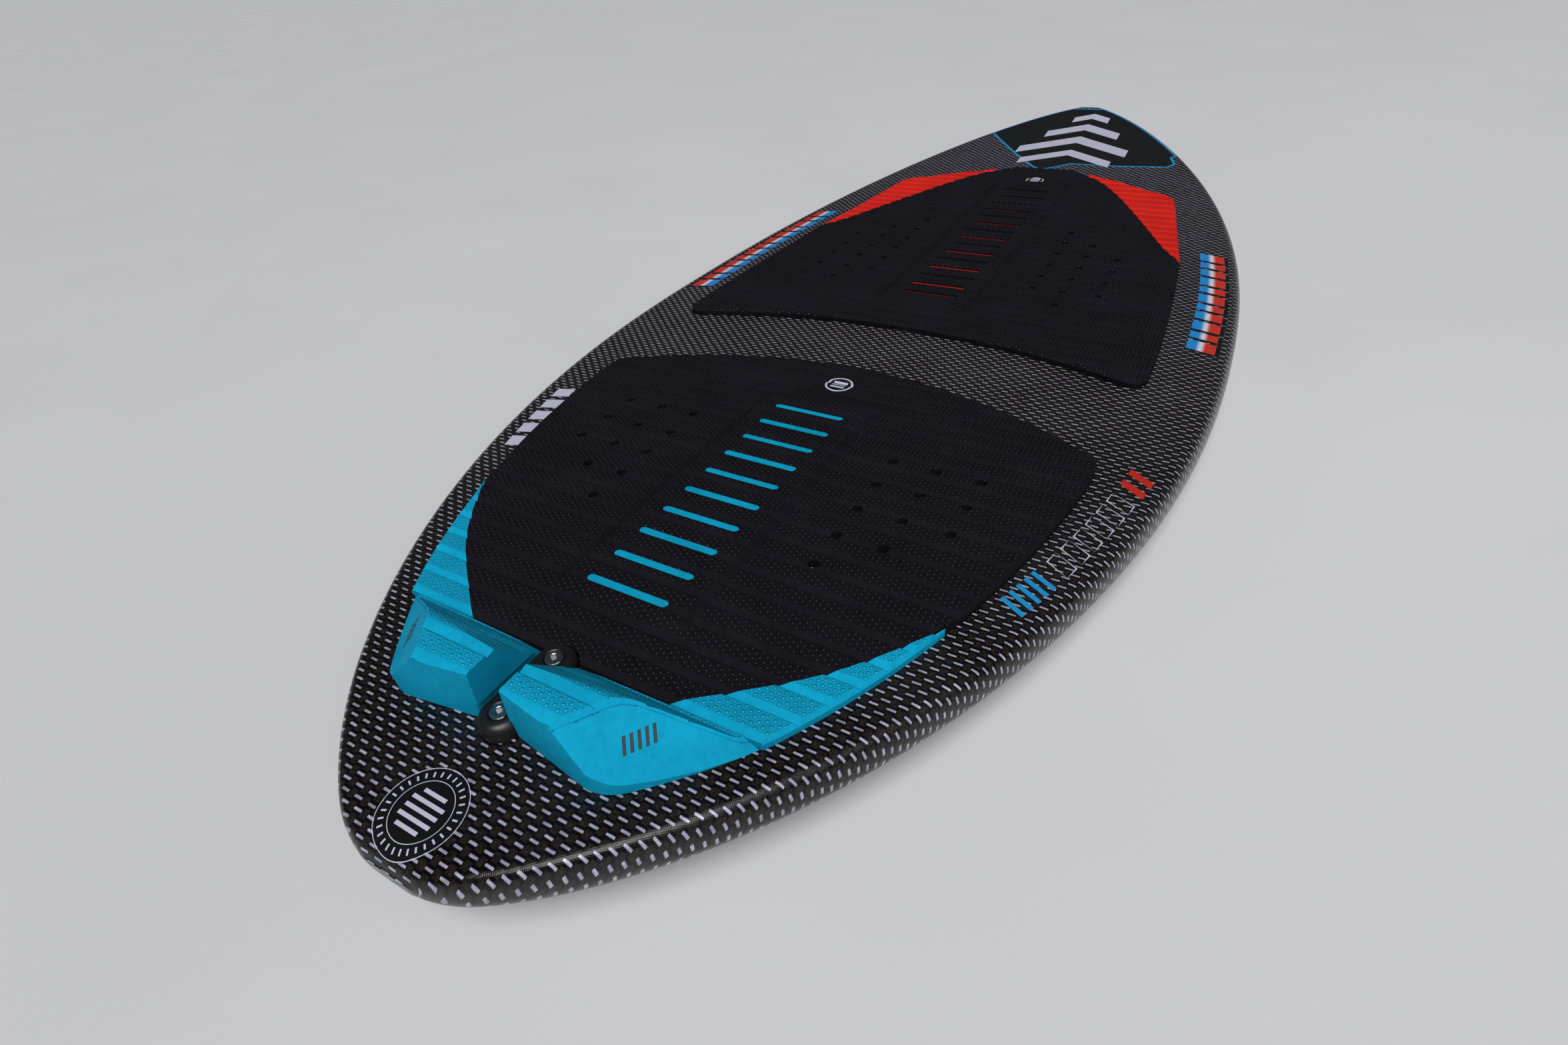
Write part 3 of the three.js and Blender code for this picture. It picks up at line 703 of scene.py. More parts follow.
HARDWARE = (
    Matrix.Translation((0, HARDWARE_Y * MM, float(deck_height(HARDWARE_Y)) * MM))
    @ Matrix.Rotation(-TAIL_LIFT, 4, "X")
)
BOLT_PLACES = {"front": BOLT_SPACING / 2, "rear": -BOLT_SPACING / 2}


def in_hardware_frame(piece):
    piece.data.transform(HARDWARE)
    return piece


def turned(name, profile, sides=48, centre=(0, 0)):
    """A turned piece from (radius, height) pairs, bottom first; the ends are closed flat."""
    return loft(name, [[(x, y, z) for x, y in circle(centre, radius, sides)] for radius, z in profile])


def rounded_slab(name, half_span, radius, levels):
    """A body with an obround outline that steps in by each level's (inset, height)."""
    return loft(name, [[(x, y, z) for x, y in obround(half_span, radius - inset)] for inset, z in levels])


def bolt_holes(radius, low, high):
    """Tools for a pair of holes round the two screws."""
    return [
        in_hardware_frame(turned("hole", [(radius, low), (radius, high)], centre=(0, y)))
        for y in BOLT_PLACES.values()
    ]


# ---------------------------------------------------------------- hull

FLAT_STEPS, RAIL_STEPS = 6, 14
CLOTH_EDGE = FLAT_STEPS + 2 * RAIL_STEPS - 3  # where the deck's cloth ends, under the rail


def half_face(half, width, power):
    """From the middle of a face out to the rail, as (x, share of the half thickness)."""
    flat = [((half - width) * i / FLAT_STEPS, 1.0) for i in range(FLAT_STEPS)]
    angles = [pi / 2 * i / RAIL_STEPS for i in range(RAIL_STEPS + 1)]
    return flat + [(half - width * (1 - sin(a) ** (2 / power)), cos(a) ** (2 / power)) for a in angles]


def hull_ring(y):
    """The hull's section at y, from the middle of the deck round the right rail, the belly and
    back up the left rail."""
    half, middle, rise, top_width, bottom_width = (float(value) for value in hull_section(y))
    deck = half_face(half, top_width, RAIL_TOP["power"])
    belly = half_face(half, bottom_width, RAIL_BOTTOM["power"])[-2::-1]
    right = [(x, y, middle + (rise - DECK_CROWN * (x / HALF_WIDTH) ** 2) * level) for x, level in deck]
    right += [(x, y, middle - rise * level) for x, level in belly]
    return right + [(-x, y, z) for x, y, z in right[-2:0:-1]]


def lay_out_cloth(piece, rings):
    """UVs in millimetres, across the cloth and along the board. One sheet starts at the middle of
    the deck and wraps round the rails; the other starts at the middle of the belly. Along the
    board both follow the surface over its tips."""
    size = len(rings[0])
    half = size // 2
    rings = np.array(rings)
    across = np.linalg.norm(np.diff(rings[:, :half + 1], axis=1), axis=2)
    from_deck = np.concatenate([np.zeros((len(rings), 1)), np.cumsum(across, 1)], 1)
    from_belly = from_deck[:, -1:] - from_deck
    forward = np.linalg.norm(np.diff(rings[:, :, 1:], axis=0), axis=2)
    along = np.concatenate([np.zeros((1, size)), np.cumsum(forward, 0)])
    along -= along[len(rings) // 2]
    layer_uv = piece.data.uv_layers.new(name="cloth")
    for polygon in piece.data.polygons:
        column = polygon.index % size
        side = 1 if column < half else -1
        sheet = from_deck if min(column, size - 1 - column) < CLOTH_EDGE else from_belly
        is_tip = polygon.index >= (len(rings) - 1) * size
        for loop in polygon.loop_indices:
            row, place = divmod(piece.data.loops[loop].vertex_index, size)
            if is_tip:
                uv = (rings[row, place, 0], rings[row, place, 2])
            else:
                uv = (side * sheet[row, place if side > 0 else (size - place) % size], along[row, place])
            layer_uv.data[loop].uv = uv


def fin_seat_tool():
    half_span = (FIN["plate_length"] - FIN["plate_width"]) / 2
    outline = obround(half_span, FIN["plate_width"] / 2 + 1)
    return in_hardware_frame(straight_prism("seat", outline, -BOARD_AT_FIN - 10, -BOARD_AT_FIN))


def stations(count, tip):
    """Places along the board, closer together near its ends, that stop short of each tip."""
    return [-(HALF_LENGTH - tip) * cos(pi * i / count) for i in range(count + 1)]


def make_hull():
    rings = [hull_ring(y) for y in stations(210, 0.02)]
    hull = loft("hull_laminate", rings)
    lay_out_cloth(hull, rings)
    cut(hull, *bolt_holes(SLEEVE["outer"] / 2 + GAP, -80, 40), fin_seat_tool())
    add_piece(crease(hull, 50), "board", "woven_carbon", ["deck_skin", "bottom_skin"])


CORE = {"inset": 1.8, "tip": 6, "stations": 80}
BLOCK_POCKET = {"half_width": 26.3, "half_length": 52.3}


def make_core():
    """The foam inside the laminate, with a pocket for the block that carries the screws."""
    rings = []
    for y in stations(CORE["stations"], CORE["tip"]):
        half, middle, rise, _, _ = hull_section(y)
        narrow, thin = 1 - CORE["inset"] / half, 1 - CORE["inset"] / rise
        rings.append([(x * narrow, y, middle + (z - middle) * thin) for x, _, z in hull_ring(y)])
    core = loft("hull_core", rings)
    wide, long = BLOCK_POCKET["half_width"], BLOCK_POCKET["half_length"]
    cut(core, in_hardware_frame(straight_prism("pocket", rectangle(-wide, -long, wide, long), -80, 60)))
    add_piece(crease(core, 50), "board", "core_foam", ["foam_core"])


# ---------------------------------------------------------------- foam pads

RIB_KNOTS = (
    (0, -RIB["depth"]), (0.4, -RIB["depth"]), (RIB["strip"], -0.12), (RIB["strip"] + 0.8, 0),
    (RIB["pitch"] - 0.7, 0), (RIB["pitch"] - 0.22, -0.15), (RIB["pitch"], -RIB["depth"]),
)
PAD_MARGIN = 3  # how far the uncut foam reaches past its outline
EDGE_LEVELS = ((0, -3), (0, GAP + PAD - EDGE_SLOPE), (EDGE_SLOPE + 0.4, GAP + PAD + 0.4))
SEAM_LEVELS = ((0, -3), (0, GAP + PAD + BAR_RISE + 1))
SEAM_OVERLAP = 4  # keeps the sloping outer edge off the seams between two foams


def rib_height(y, line):
    """The grooves: a sharp drop at each line, then a plain strip that slopes back up."""
    phases, heights = zip(*RIB_KNOTS)
    return np.interp(np.mod(y - line, RIB["pitch"]), phases, heights)


def rib_rows(rear, front, line):
    """The y of every row that the ribs' shape needs, with a few between."""
    extra = (7.5, 10, 12.5)
    first = int((rear - line) // RIB["pitch"])
    last = int((front - line) // RIB["pitch"]) + 1
    rows = {rear, front}
    for k in range(first, last + 1):
        for phase in (*(knot[0] for knot in RIB_KNOTS[:-1]), *extra):
            y = line + k * RIB["pitch"] + phase
            if rear + 0.05 < y < front - 0.05:
                rows.add(y)
    return np.array(sorted(rows))


def ramp(value, start, end):
    t = np.clip((value - start) / (end - start), 0, 1)
    return t * t * (3 - 2 * t)


def bar_height(x, y, bar):
    """The raised bar down the middle of a pad, with soft shoulders."""
    reach = BAR_SHOULDER["end"] / 2
    across = ramp(abs(x), BAR_SHOULDER["outer"], BAR_SHOULDER["inner"])
    rear = ramp(y, bar["rear"] - reach, bar["rear"] + reach)
    front = ramp(y, bar["front"] + reach, bar["front"] - reach)
    return BAR_RISE * across * rear * front


def pad_columns(half_width):
    shoulder = spread(BAR_SHOULDER["inner"] - 2, BAR_SHOULDER["outer"] + 2, 2)
    outer = spread(BAR_SHOULDER["outer"] + 2, half_width, 6)
    inner = spread(0, BAR_SHOULDER["inner"] - 2, 6)
    right = np.concatenate([inner, shoulder[1:], outer[1:]])
    return np.concatenate([-right[:0:-1], right])


def over_deck(height):
    """A surface that follows the deck at this height."""
    return lambda x, y: deck_at(x, y) + height


def pad_top(line, bar=None):
    """The upper surface of a pad, with its ribs and its raised bar."""
    def surface(x, y):
        raised = bar_height(x, y, bar) if bar else 0
        return deck_at(x, y) + GAP + PAD + rib_height(y, line) + raised

    return surface


def pad_slab(name, columns, rear, front, line, bar=None):
    """Foam over a stretch of deck, before its outline is cut."""
    rows = rib_rows(rear - PAD_MARGIN, front + PAD_MARGIN, line)
    return layer(name, columns, rows, pad_top(line, bar), over_deck(GAP))


def slot_outlines(slots, clearance=0.0):
    half_span = SLOT["half_length"] - SLOT["width"] / 2
    radius = SLOT["width"] / 2 - clearance
    ys = [slots["first"] - i * SLOT["pitch"] for i in range(slots["count"])]
    return [obround(half_span, radius, 6, "x", (0, y)) for y in ys]


def slot_tools(slots):
    """Tools for the slots through a raised bar, with slightly opened mouths."""
    mouth = GAP + PAD + BAR_RISE
    levels = ((0, -3), (0, mouth - 0.9), (-1.1, mouth + 0.2))
    return joined([edge_prism("slot", outline, levels) for outline in slot_outlines(slots)])


def insert_bounds(bar):
    return bar["rear"] + 4, bar["front"] - 4


def channel_tool(bar):
    """The room under a raised bar for its coloured insert."""
    rear, front = insert_bounds(bar)
    half = INSERT["half_width"] + GAP
    xs, ys = spread(-half, half, 10), spread(rear - GAP, front + GAP, 10)
    return layer("channel", xs, ys, over_deck(2 * GAP + INSERT["thickness"]), over_deck(-5))


DRAIN_HOLE = 3.5
DRAIN_HOLES = {
    "rear": {"columns": (84.1, 114.9, 146.1), "first": -322.9, "pitch": -29.95,
             "rows": ((0, 1, 2), (0, 1, 2), (0, 1, 2), (0, 1), (0,))},
    "front": {"columns": (87.2, 117.2, 149.9), "first": -10.1, "pitch": 33.6,
              "rows": ((1,), (0, 1, 2), (0, 1, 2), (0, 1, 2), (0, 1, 2), (0, 1), (0,))},
}


def drain_tools(layout):
    """Tools for the drain holes on both sides of a pad."""
    tools = []
    mouth = GAP + PAD
    levels = ((0, -3), (0, mouth - 0.7), (-0.9, mouth + 0.2))
    for i, row in enumerate(layout["rows"]):
        y = layout["first"] + i * layout["pitch"]
        for column in row:
            for side in (-1, 1):
                place = (side * layout["columns"][column], y)
                tools.append(edge_prism("drain", circle(place, DRAIN_HOLE, 22), levels))
    return joined(tools)


def insert_strip(name, bar, slots, rise):
    """The coloured foam under a raised bar, with a ridge that stands up into each slot."""
    xs, ys = spread(-INSERT["half_width"], INSERT["half_width"], 8), spread(*insert_bounds(bar), 6)
    strip, tall = (
        layer(piece, xs, ys, over_deck(GAP + top), over_deck(GAP))
        for piece, top in ((name, INSERT["thickness"]), ("tall", rise))
    )
    ridges = joined([straight_prism("ridge", outline, 0, 120) for outline in slot_outlines(slots, 0.15)])
    return combine(strip, combine(ridges, tall, "INTERSECT"), "UNION")


def both_sides(right):
    """A closed symmetric outline from its right side, given from the nose end to the tail end."""
    return [*right, *((-x, y) for x, y in reversed(right) if x > 0.01)]


def arch(pad, edge):
    """Half of a pad's arched edge, from the middle of the board outwards."""
    xs = np.linspace(0, pad["corner"], 16)
    return [(x, edge - (pad["arch"] - sqrt(pad["arch"] ** 2 - x**2))) for x in xs]


REAR_MARGIN = {"tail": -560, "length": 270, "least": 28, "growth": 18, "power": 1.2}


def rear_pad_side(y):
    """The rear pad keeps a margin of bare deck that narrows towards the tail."""
    t = np.maximum(0, (y - REAR_MARGIN["tail"]) / REAR_MARGIN["length"])
    return outline_half_width(y) - (REAR_MARGIN["least"] + REAR_MARGIN["growth"] * t ** REAR_MARGIN["power"])


def rear_side(start, end):
    return [(float(rear_pad_side(y)), float(y)) for y in spread(start, end, 9)]


REAR_SPLIT = ((170, -457), (152, -485), (131, -511), (109, -531.5), (68, -564))
REAR_CORNER = ((205.5, -262), (208.5, -272))
FRONT_SPLIT = ((39, 406), (78, 374), (107, 333), (132, 287), (165, 219), (187, 171), (209, 135))
FRONT_RIM = ((209, 135), (194, 226), (179, 315), (174, 333), (164, 343), (137, 357), (98, 380), (39, 406))
FRONT_SIDE = ((209, 135), (216, 30), (219.5, -60), (219.5, -124), (217.7, -132.5), (213.4, -139.3),
              (207, -141.3))


def rear_centre_outline(overlap=0):
    *edge, edge_end = arch(REAR_PAD, REAR_PAD["front"])
    side = rear_side(-290, -455)[:-1]
    corner = smooth_curve([edge_end, *REAR_CORNER, side[0]], 4)
    seam = [(x + overlap, y) for x, y in smooth_curve(REAR_SPLIT)]
    return both_sides([*edge, *corner[:-1], *side, *seam])


def rear_wing_outline(overlap=0):
    seam = [(x + GAP - overlap, y) for x, y in smooth_curve(REAR_SPLIT)][5:]
    return [*rear_side(-459.5, REAR_PAD["rear"]), *reversed(seam)]


def front_centre_outline(overlap=0):
    edge_end, *rear_edge = reversed(arch(FRONT_PAD, FRONT_PAD["rear"]))
    side = smooth_curve([*FRONT_SIDE, edge_end], 6)
    nose_end = [(0, FRONT_PAD["front"]), (14, FRONT_PAD["front"]), (28, FRONT_PAD["front"] - 0.5)]
    seam = [(x + overlap, y + overlap) for x, y in smooth_curve(FRONT_SPLIT)[:-1]]
    return both_sides([*nose_end, *seam, *side[:-1], *rear_edge])


def front_wing_outline(overlap=0):
    shift = GAP - overlap
    seam = [(x + shift, y + shift) for x, y in smooth_curve(FRONT_SPLIT)][4:-2]
    rim = [(x, y + GAP) for x, y in smooth_curve(FRONT_RIM)][1:-3]
    return [*rim, *seam]


def trim_pad(pad, outline):
    combine(pad, edge_prism("outline", outline(SEAM_OVERLAP), EDGE_LEVELS), "INTERSECT")
    return combine(pad, edge_prism("seam", outline(), SEAM_LEVELS), "INTERSECT")


def centre_pad(end, outline):
    bar, slots = BARS[end], SLOTS[end]
    xs, ys = zip(*outline())
    columns = pad_columns(max(xs) + 4)
    pad = pad_slab(f"{end}_pad_foam", columns, min(ys), max(ys), RIB_PHASE[end], bar)
    return cut(trim_pad(pad, outline), channel_tool(bar), slot_tools(slots), drain_tools(DRAIN_HOLES[end]))


def wing_pad(end, outline):
    xs, ys = zip(*outline())
    columns = spread(min(xs) - PAD_MARGIN, max(xs) + PAD_MARGIN, 8)
    pad = pad_slab(f"{end}_wing_right_foam", columns, min(ys), max(ys), RIB_PHASE[end])
    return trim_pad(pad, outline)


def hub_recess_tool():
    middle = (0, HARDWARE_Y + BOLT_PLACES["front"])
    return straight_prism("recess", circle(middle, HUB["radius"] + 0.8, 40), 20, 120)


PADS = {
    "rear": (rear_centre_outline, rear_wing_outline, "blue"),
    "front": (front_centre_outline, front_wing_outline, "red"),
}


def make_pads():
    for end, (centre_outline, wing_outline, colour) in PADS.items():
        centre = centre_pad(end, centre_outline)
        if end == "rear":
            cut(centre, hub_recess_tool())
        add_pad(centre, f"{end}_black_foam", [f"{end}_pad_centre"])
        insert = insert_strip(f"{end}_insert_foam", BARS[end], SLOTS[end], INSERT["rise"][end])
        add_pad(insert, f"plain_{colour}_foam", [f"{end}_arch_insert"])
        right = wing_pad(end, wing_outline)
        left = mirrored(right, f"{end}_wing_left_foam")
        for side, wing in (("right", right), ("left", left)):
            add_pad(wing, f"{colour}_foam", [f"{end}_pad_{side}_wing"])


# ---------------------------------------------------------------- kick blocks


def above_deck(point):
    x, y, height = point
    return Vector((x, y, float(deck_height(y)) + height))


def plane_slab(name, points, outwards, low, high, reach=150):
    """A block over the plane through three points, between two distances from it."""
    first, second, third = (above_deck(point) for point in points)
    normal = (second - first).cross(third - first).normalized()
    if normal.dot(Vector(outwards)) < 0:
        normal = -normal
    piece = straight_prism(name, rectangle(-reach, -reach, reach, reach), low, high)
    turn = normal.to_track_quat("Z", "Y").to_matrix().to_4x4()
    piece.data.transform(Matrix.Translation(first * MM) @ turn)
    return piece


def prism_across(name, profile, low, high):
    """Extrudes a profile drawn in (y, z) along X."""
    return loft(name, [[(x, y, z) for y, z in profile] for x in (low, high)])


def bezier(start, control, end, count):
    start, control, end = (np.array(point, float) for point in (start, control, end))
    return [
        tuple((1 - t) ** 2 * start + 2 * t * (1 - t) * control + t * t * end)
        for t in np.linspace(0, 1, count + 1)
    ]


def kick_plan():
    foot, tip, corner, heel, gap = KICK["outline"]
    side, turn = KICK["bends"]
    return [foot, *bezier(tip, side, corner, 14), *bezier(corner, turn, heel, 10)[1:], gap]


def kick_surface(y):
    """The height of the block's ramp and top at y."""
    ys, heights = zip(*reversed(KICK["ramp"]))
    return float(deck_height(y) + np.interp(y, ys, heights))


def kick_tool(start, end, depth, lift, reach=8):
    """A cut across the block from start back to end, depth deep at start and lift deep at end."""
    low, high = kick_surface(start), kick_surface(end)
    away = Vector((0, high - low, start - end)).normalized() * reach
    profile = [(start, low - depth), (end, high - lift)]
    profile += [(end + away.y, high + away.z), (start + away.y, low + away.z)]
    return prism_across("groove", profile, 0, 160)


def kick_groove_tools():
    """Two grooves with a plain strip on the nose side of each on the top, and two on the ramp."""
    tools = []
    for groove in (KICK["groove"], KICK["groove"] - RIB["pitch"]):
        tools.append(kick_tool(groove + KICK["strip"], groove, 0, RIB["depth"]))
    for groove in KICK["ramp_grooves"]:
        tools.append(kick_tool(groove + 1.3, groove - 0.9, 0.1, 1.3))
    return joined(tools)


BLANK = {"front": -560, "rear": -645, "bottom": 40, "inner": -20, "outer": 170}  # the uncut foam


def make_kick_block(name):
    ys = [*np.arange(BLANK["front"], -592, -0.8), -600, -607, BLANK["rear"]]
    profile = [(y, kick_surface(y)) for y in ys]
    profile += [(BLANK["rear"], BLANK["bottom"]), (BLANK["front"], BLANK["bottom"])]
    block = prism_across(name, profile, BLANK["inner"], BLANK["outer"])
    combine(block, straight_prism("plan", kick_plan(), 20, 140), "INTERSECT")
    above = layer(
        "above", spread(-10, 150, 16), spread(-655, -545, 8),
        lambda x, y: 0 * x + 150, lambda x, y: deck_at(x, y) + GAP,
    )
    combine(block, above, "INTERSECT")
    hub_room = in_hardware_frame(
        straight_prism("room", obround(BOLT_SPACING / 2, HUB["radius"] + 0.6), -5, HUB["top"] + 1.5)
    )
    cut(block, kick_groove_tools(), hub_room)
    for face, outwards in (("rear_face", (0, -1, 0)), ("hub_side", (-1, 1, 1)), ("facet", (1, 0, 1))):
        cut(block, plane_slab(face, KICK[face], outwards, 0, 90))
    return cut(block, facet_rim_tool())


def facet_rim_tool():
    """A hairline groove just inside the facet's upper boundary."""
    groove = plane_slab("groove", KICK["facet"], (1, 0, 1), -0.55, 5)
    ys = range(-560, -640, -4)
    for depth, reach, operation in ((2.6, 0, "INTERSECT"), (3.2, 1, "DIFFERENCE")):
        profile = [(y, kick_surface(y) - depth) for y in ys] + [(-640, 0), (-560, 0)]
        below = prism_across("below", profile, BLANK["inner"] - reach, BLANK["outer"] + reach)
        combine(groove, below, operation)
    return groove


def make_kick_blocks():
    right = make_kick_block("kick_right_foam")
    left = mirrored(right, "kick_left_foam")
    for side, block in (("right", right), ("left", left)):
        add_pad(block, "kick_foam", [f"rear_kick_{side}"])


# ---------------------------------------------------------------- fin hardware


def make_hub():
    radius, top, rounding = HUB["radius"], HUB["top"], HUB["round"]
    levels = [(0.5, HUB["base"]), (0, HUB["base"] + 0.5)]
    for i in range(9):
        angle = pi / 2 * i / 8
        levels.append((rounding * (1 - cos(angle)), top - rounding * (1 - sin(angle))))
    hub = in_hardware_frame(rounded_slab("hub_moulding", BOLT_SPACING / 2, radius, levels))
    seat = BOLT["head"] / 2 + GAP
    floor = top - BOLT["head_height"] - SEAL_HEIGHT - 2 * GAP
    for y in BOLT_PLACES.values():
        profile = ((seat, floor), (seat, top - 0.6), (seat + 1.2, top + 0.6))
        sink = turned("sink", profile, centre=(0, y))
        bore = turned("bore", ((SLEEVE["inner"] / 2, -5), (SLEEVE["inner"] / 2, floor + 1)), centre=(0, y))
        cut(hub, in_hardware_frame(sink), in_hardware_frame(bore))
    add_piece(crease(hub, 40), "board", "black_plastic", ["bolt_hub"])


THREAD = {"length": 30, "pitch": 1.0, "root": 0.42, "crest": 0.05}


def make_bolt(place, y):
    """A countersunk machine screw with rolled thread rings and a six-sided drive socket."""
    top = HUB["top"] + 0.2
    bottom = top - BOLT["length"]
    radius, head, recess = BOLT["shank"] / 2, BOLT["head"] / 2, BOLT["recess"] / 2
    root, crest = radius - THREAD["root"], radius - THREAD["crest"]
    profile = [(0.4, bottom), (radius - 0.8, bottom + 0.1)]
    for i in range(int(THREAD["length"] / THREAD["pitch"])):
        z = bottom + 1 + i * THREAD["pitch"]
        profile += [(root, z), (crest, z + 0.45), (crest, z + 0.6)]
    profile += [(crest, bottom + THREAD["length"] + 2), (radius, bottom + THREAD["length"] + 3)]
    profile += [(radius, top - BOLT["head_height"]), (head, top - 0.9), (head, top - 0.5)]
    profile += [(head - 0.35, top - 0.1), (head - 0.9, top), (recess + 0.6, top)]
    profile += [(recess + 0.3, top - 0.25), (0.2, top - 0.25)]
    bolt = turned(f"{place}_screw", profile, centre=(0, y))
    cut(bolt, turned("socket", ((recess, top - BOLT["recess_depth"]), (recess, top + 2)), 6, (0, y)))
    node = f"{place}_bolt"
    add_piece(crease(in_hardware_frame(bolt), 28), node, "stainless_steel", [node])


def fin_section(lead, trail, thickness, z):
    """A foil section at height z, from its leading edge round one side and back along the other."""
    count = 14
    shares = [(1 - cos(pi * i / count)) / 2 for i in range(count + 1)]
    sides = [(s, thickness * sqrt(s) * (1 - s) / 0.385 / 2) for s in shares]
    right = [(w + 0.05, lead + (trail - lead) * s, z) for s, w in sides]
    left = [(-w - 0.05, lead + (trail - lead) * s, z) for s, w in reversed(sides)]
    return right + left


FIN_LEAD = (-34, 6, 37)  # the leading edge at the lowest point, half way and the root
FIN_TRAIL = {"root": -36, "sweep": 8, "power": 1.4}


def make_fin():
    """A low swept fin: a foiled blade under a base plate with a boss round each insert."""
    depth = FIN["depth"]
    rings = []
    for t in np.linspace(1, 0, 14):
        lead = (1 - t) ** 2 * FIN_LEAD[0] + 2 * t * (1 - t) * FIN_LEAD[1] + t * t * FIN_LEAD[2]
        z = -((1 - t) ** 2 * depth + 2 * t * (1 - t) * 0.86 * depth + t * t)
        trail = FIN_TRAIL["root"] - FIN_TRAIL["sweep"] * (-z / depth) ** FIN_TRAIL["power"]
        rings.append(fin_section(lead, trail, FIN["thickness"] * (1 + 0.55 * z / depth), z))
    fin = loft("fin_moulding", rings)
    half_span = (FIN["plate_length"] - FIN["plate_width"]) / 2
    levels = ((0.3, 0), (0, -0.3), (0, -FIN["plate"] + 1.2), (1.2, -FIN["plate"]))
    combine(fin, rounded_slab("plate", half_span, FIN["plate_width"] / 2, levels), "UNION")
    for y in BOLT_PLACES.values():
        boss, low = FIN["boss"] / 2, -FIN_INSERT["height"] - 3
        combine(fin, turned("boss", ((boss - 1.2, low), (boss, low + 1.2), (boss, -1)), 48, (0, y)), "UNION")
        hole = FIN_INSERT["outer"] / 2 + GAP
        cut(fin, turned("hole", ((hole, -FIN_INSERT["height"] - GAP), (hole, 5)), 48, (0, y)))
    top = -BOARD_AT_FIN - 2 * GAP - GASKET
    fin.data.transform(HARDWARE @ Matrix.Translation((0, 0, top * MM)))
    add_piece(crease(fin, 35), "fin", "fin_composite", ["centre_fin"])


# The CAD's own solids that stay in sight, and their looks; the second row has one at each screw.
NODE_LOOKS = {"fin_block": "resin_block", "hub_gasket": "black_rubber", "fin_gasket": "black_rubber"}
PAIR_LOOKS = {"seal": "black_rubber", "sleeve": "stainless_steel", "insert": "brass"}


def make_hardware():
    make_hub()
    make_fin()
    looks = dict(NODE_LOOKS)
    for place, y in BOLT_PLACES.items():
        make_bolt(place, y)
        looks.update({f"{place}_bolt_{part}": look for part, look in PAIR_LOOKS.items()})
    for node, material in looks.items():
        paint(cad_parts[node], material)


# ---------------------------------------------------------------- printed graphics, all generic

PRINT = 0.12  # how proud the printed layers stand
PRINT_TOOL_HIGH = 200  # the upper end of the tools that cut the printed layers


def printed(name, outlines, material, holes=(), lift=PRINT, step=5, surface=hull_top):
    """Flat shapes laid on the deck, as one thin piece that follows its surface."""
    shapes = joined([straight_prism(name, outline, high=PRINT_TOOL_HIGH) for outline in outlines])
    if holes:
        through = (TOOL_LOW - 10, PRINT_TOOL_HIGH + 10)
        cut(shapes, joined([straight_prism("hole", outline, *through) for outline in holes]))
    points = [point for outline in outlines for point in outline]
    low_x, low_y = np.min(points, axis=0) - 2
    high_x, high_y = np.max(points, axis=0) + 2
    sheet = layer(
        "sheet", spread(low_x, high_x, step), spread(low_y, high_y, step),
        lambda x, y: surface(x, y) + lift, lambda x, y: surface(x, y) - 0.3,
    )
    combine(shapes, sheet, "INTERSECT")
    add_piece(crease(shapes, 40), "board", material)


def slanted_bar(side, y, length, inner, outer, slant=7.0):
    """A leaning bar that runs in from the rail; inner and outer are distances from the rail."""
    def at(along, inwards):
        return (side * (float(outline_half_width(along)) - inwards), along)

    return [at(y, outer), at(y + length, outer), at(y + length + slant, inner), at(y + slant, inner)]


RAIL_BARS = {"inner": 38, "outer": 15, "gap": 5.5, "lengths": (19, 13, 19, 16, 13), "shadow": 3.5}


def make_rail_bars(name, side, start, end):
    """A row of leaning bars of uneven length along a rail, with a black shadow."""
    bars, y, lengths = [], start, cycle(RAIL_BARS["lengths"])
    while y < end:
        length = next(lengths)
        bars.append(slanted_bar(side, y, length, RAIL_BARS["inner"], RAIL_BARS["outer"]))
        y += length + RAIL_BARS["gap"]
    shift = RAIL_BARS["shadow"]
    shadows = [[(x + side * shift, y - shift) for x, y in bar] for bar in bars]
    printed(f"{name}_shadow", shadows, "black_ink", lift=PRINT * 0.6)
    printed(f"{name}_bars", bars, "graded_ink", lift=PRINT * 1.4)


def make_white_marks():
    """Five pale leaning bars by the left rail."""
    bars = [slanted_bar(-1, -413 + 19 * i, 13, 36, 20, 5) for i in range(5)]
    printed("left_marks", bars, "pale_ink")


def make_outline_marks():
    """Blue bars, thin open shapes and red bars in a row by the right rail."""
    blue = [slanted_bar(1, y, 3.2, 32, 14, 9) for y in (-428, -421, -414, -407, -400)]
    red = [slanted_bar(1, y, 7, 31, 13, 12) for y in (-291, -277)]
    printed("right_marks_blue", blue, "blue_ink")
    printed("right_marks_red", red, "red_ink")
    rims = [slanted_bar(1, y, 10.5, 31, 14, 9) for y in range(-386, -300, 15)]
    openings = [inset_outline(rim, 0.9, fade=0.1) for rim in rims]
    printed("right_marks_open", rims, "pale_ink", holes=openings, step=3)


NOSE_PANEL = (
    (-118, 556), (-92, 520), (-58, 474), (-24, 432), (-10, 420), (6, 430), (26, 448), (90, 449),
    (150, 456), (158, 470), (150, 492),
)


def nose_panel_outline(inset):
    """The panel's tail edge, then the rails round the nose, moved inwards."""
    ys = spread(500, 668, 8)
    right = [(float(outline_half_width(y)) - 7, float(y)) for y in ys]
    left = [(-x, y) for x, y in reversed(right) if y > 562]
    return inset_outline([*NOSE_PANEL, *right, *left], inset, fade=4)


def chevron(apex_y, arm, width, centre=14, slope=0.62):
    """A V that points to the nose."""
    outer = [(centre - arm, apex_y - slope * arm), (centre, apex_y), (centre + arm, apex_y - slope * arm)]
    return [*outer, *((x, y - width) for x, y in reversed(outer))]


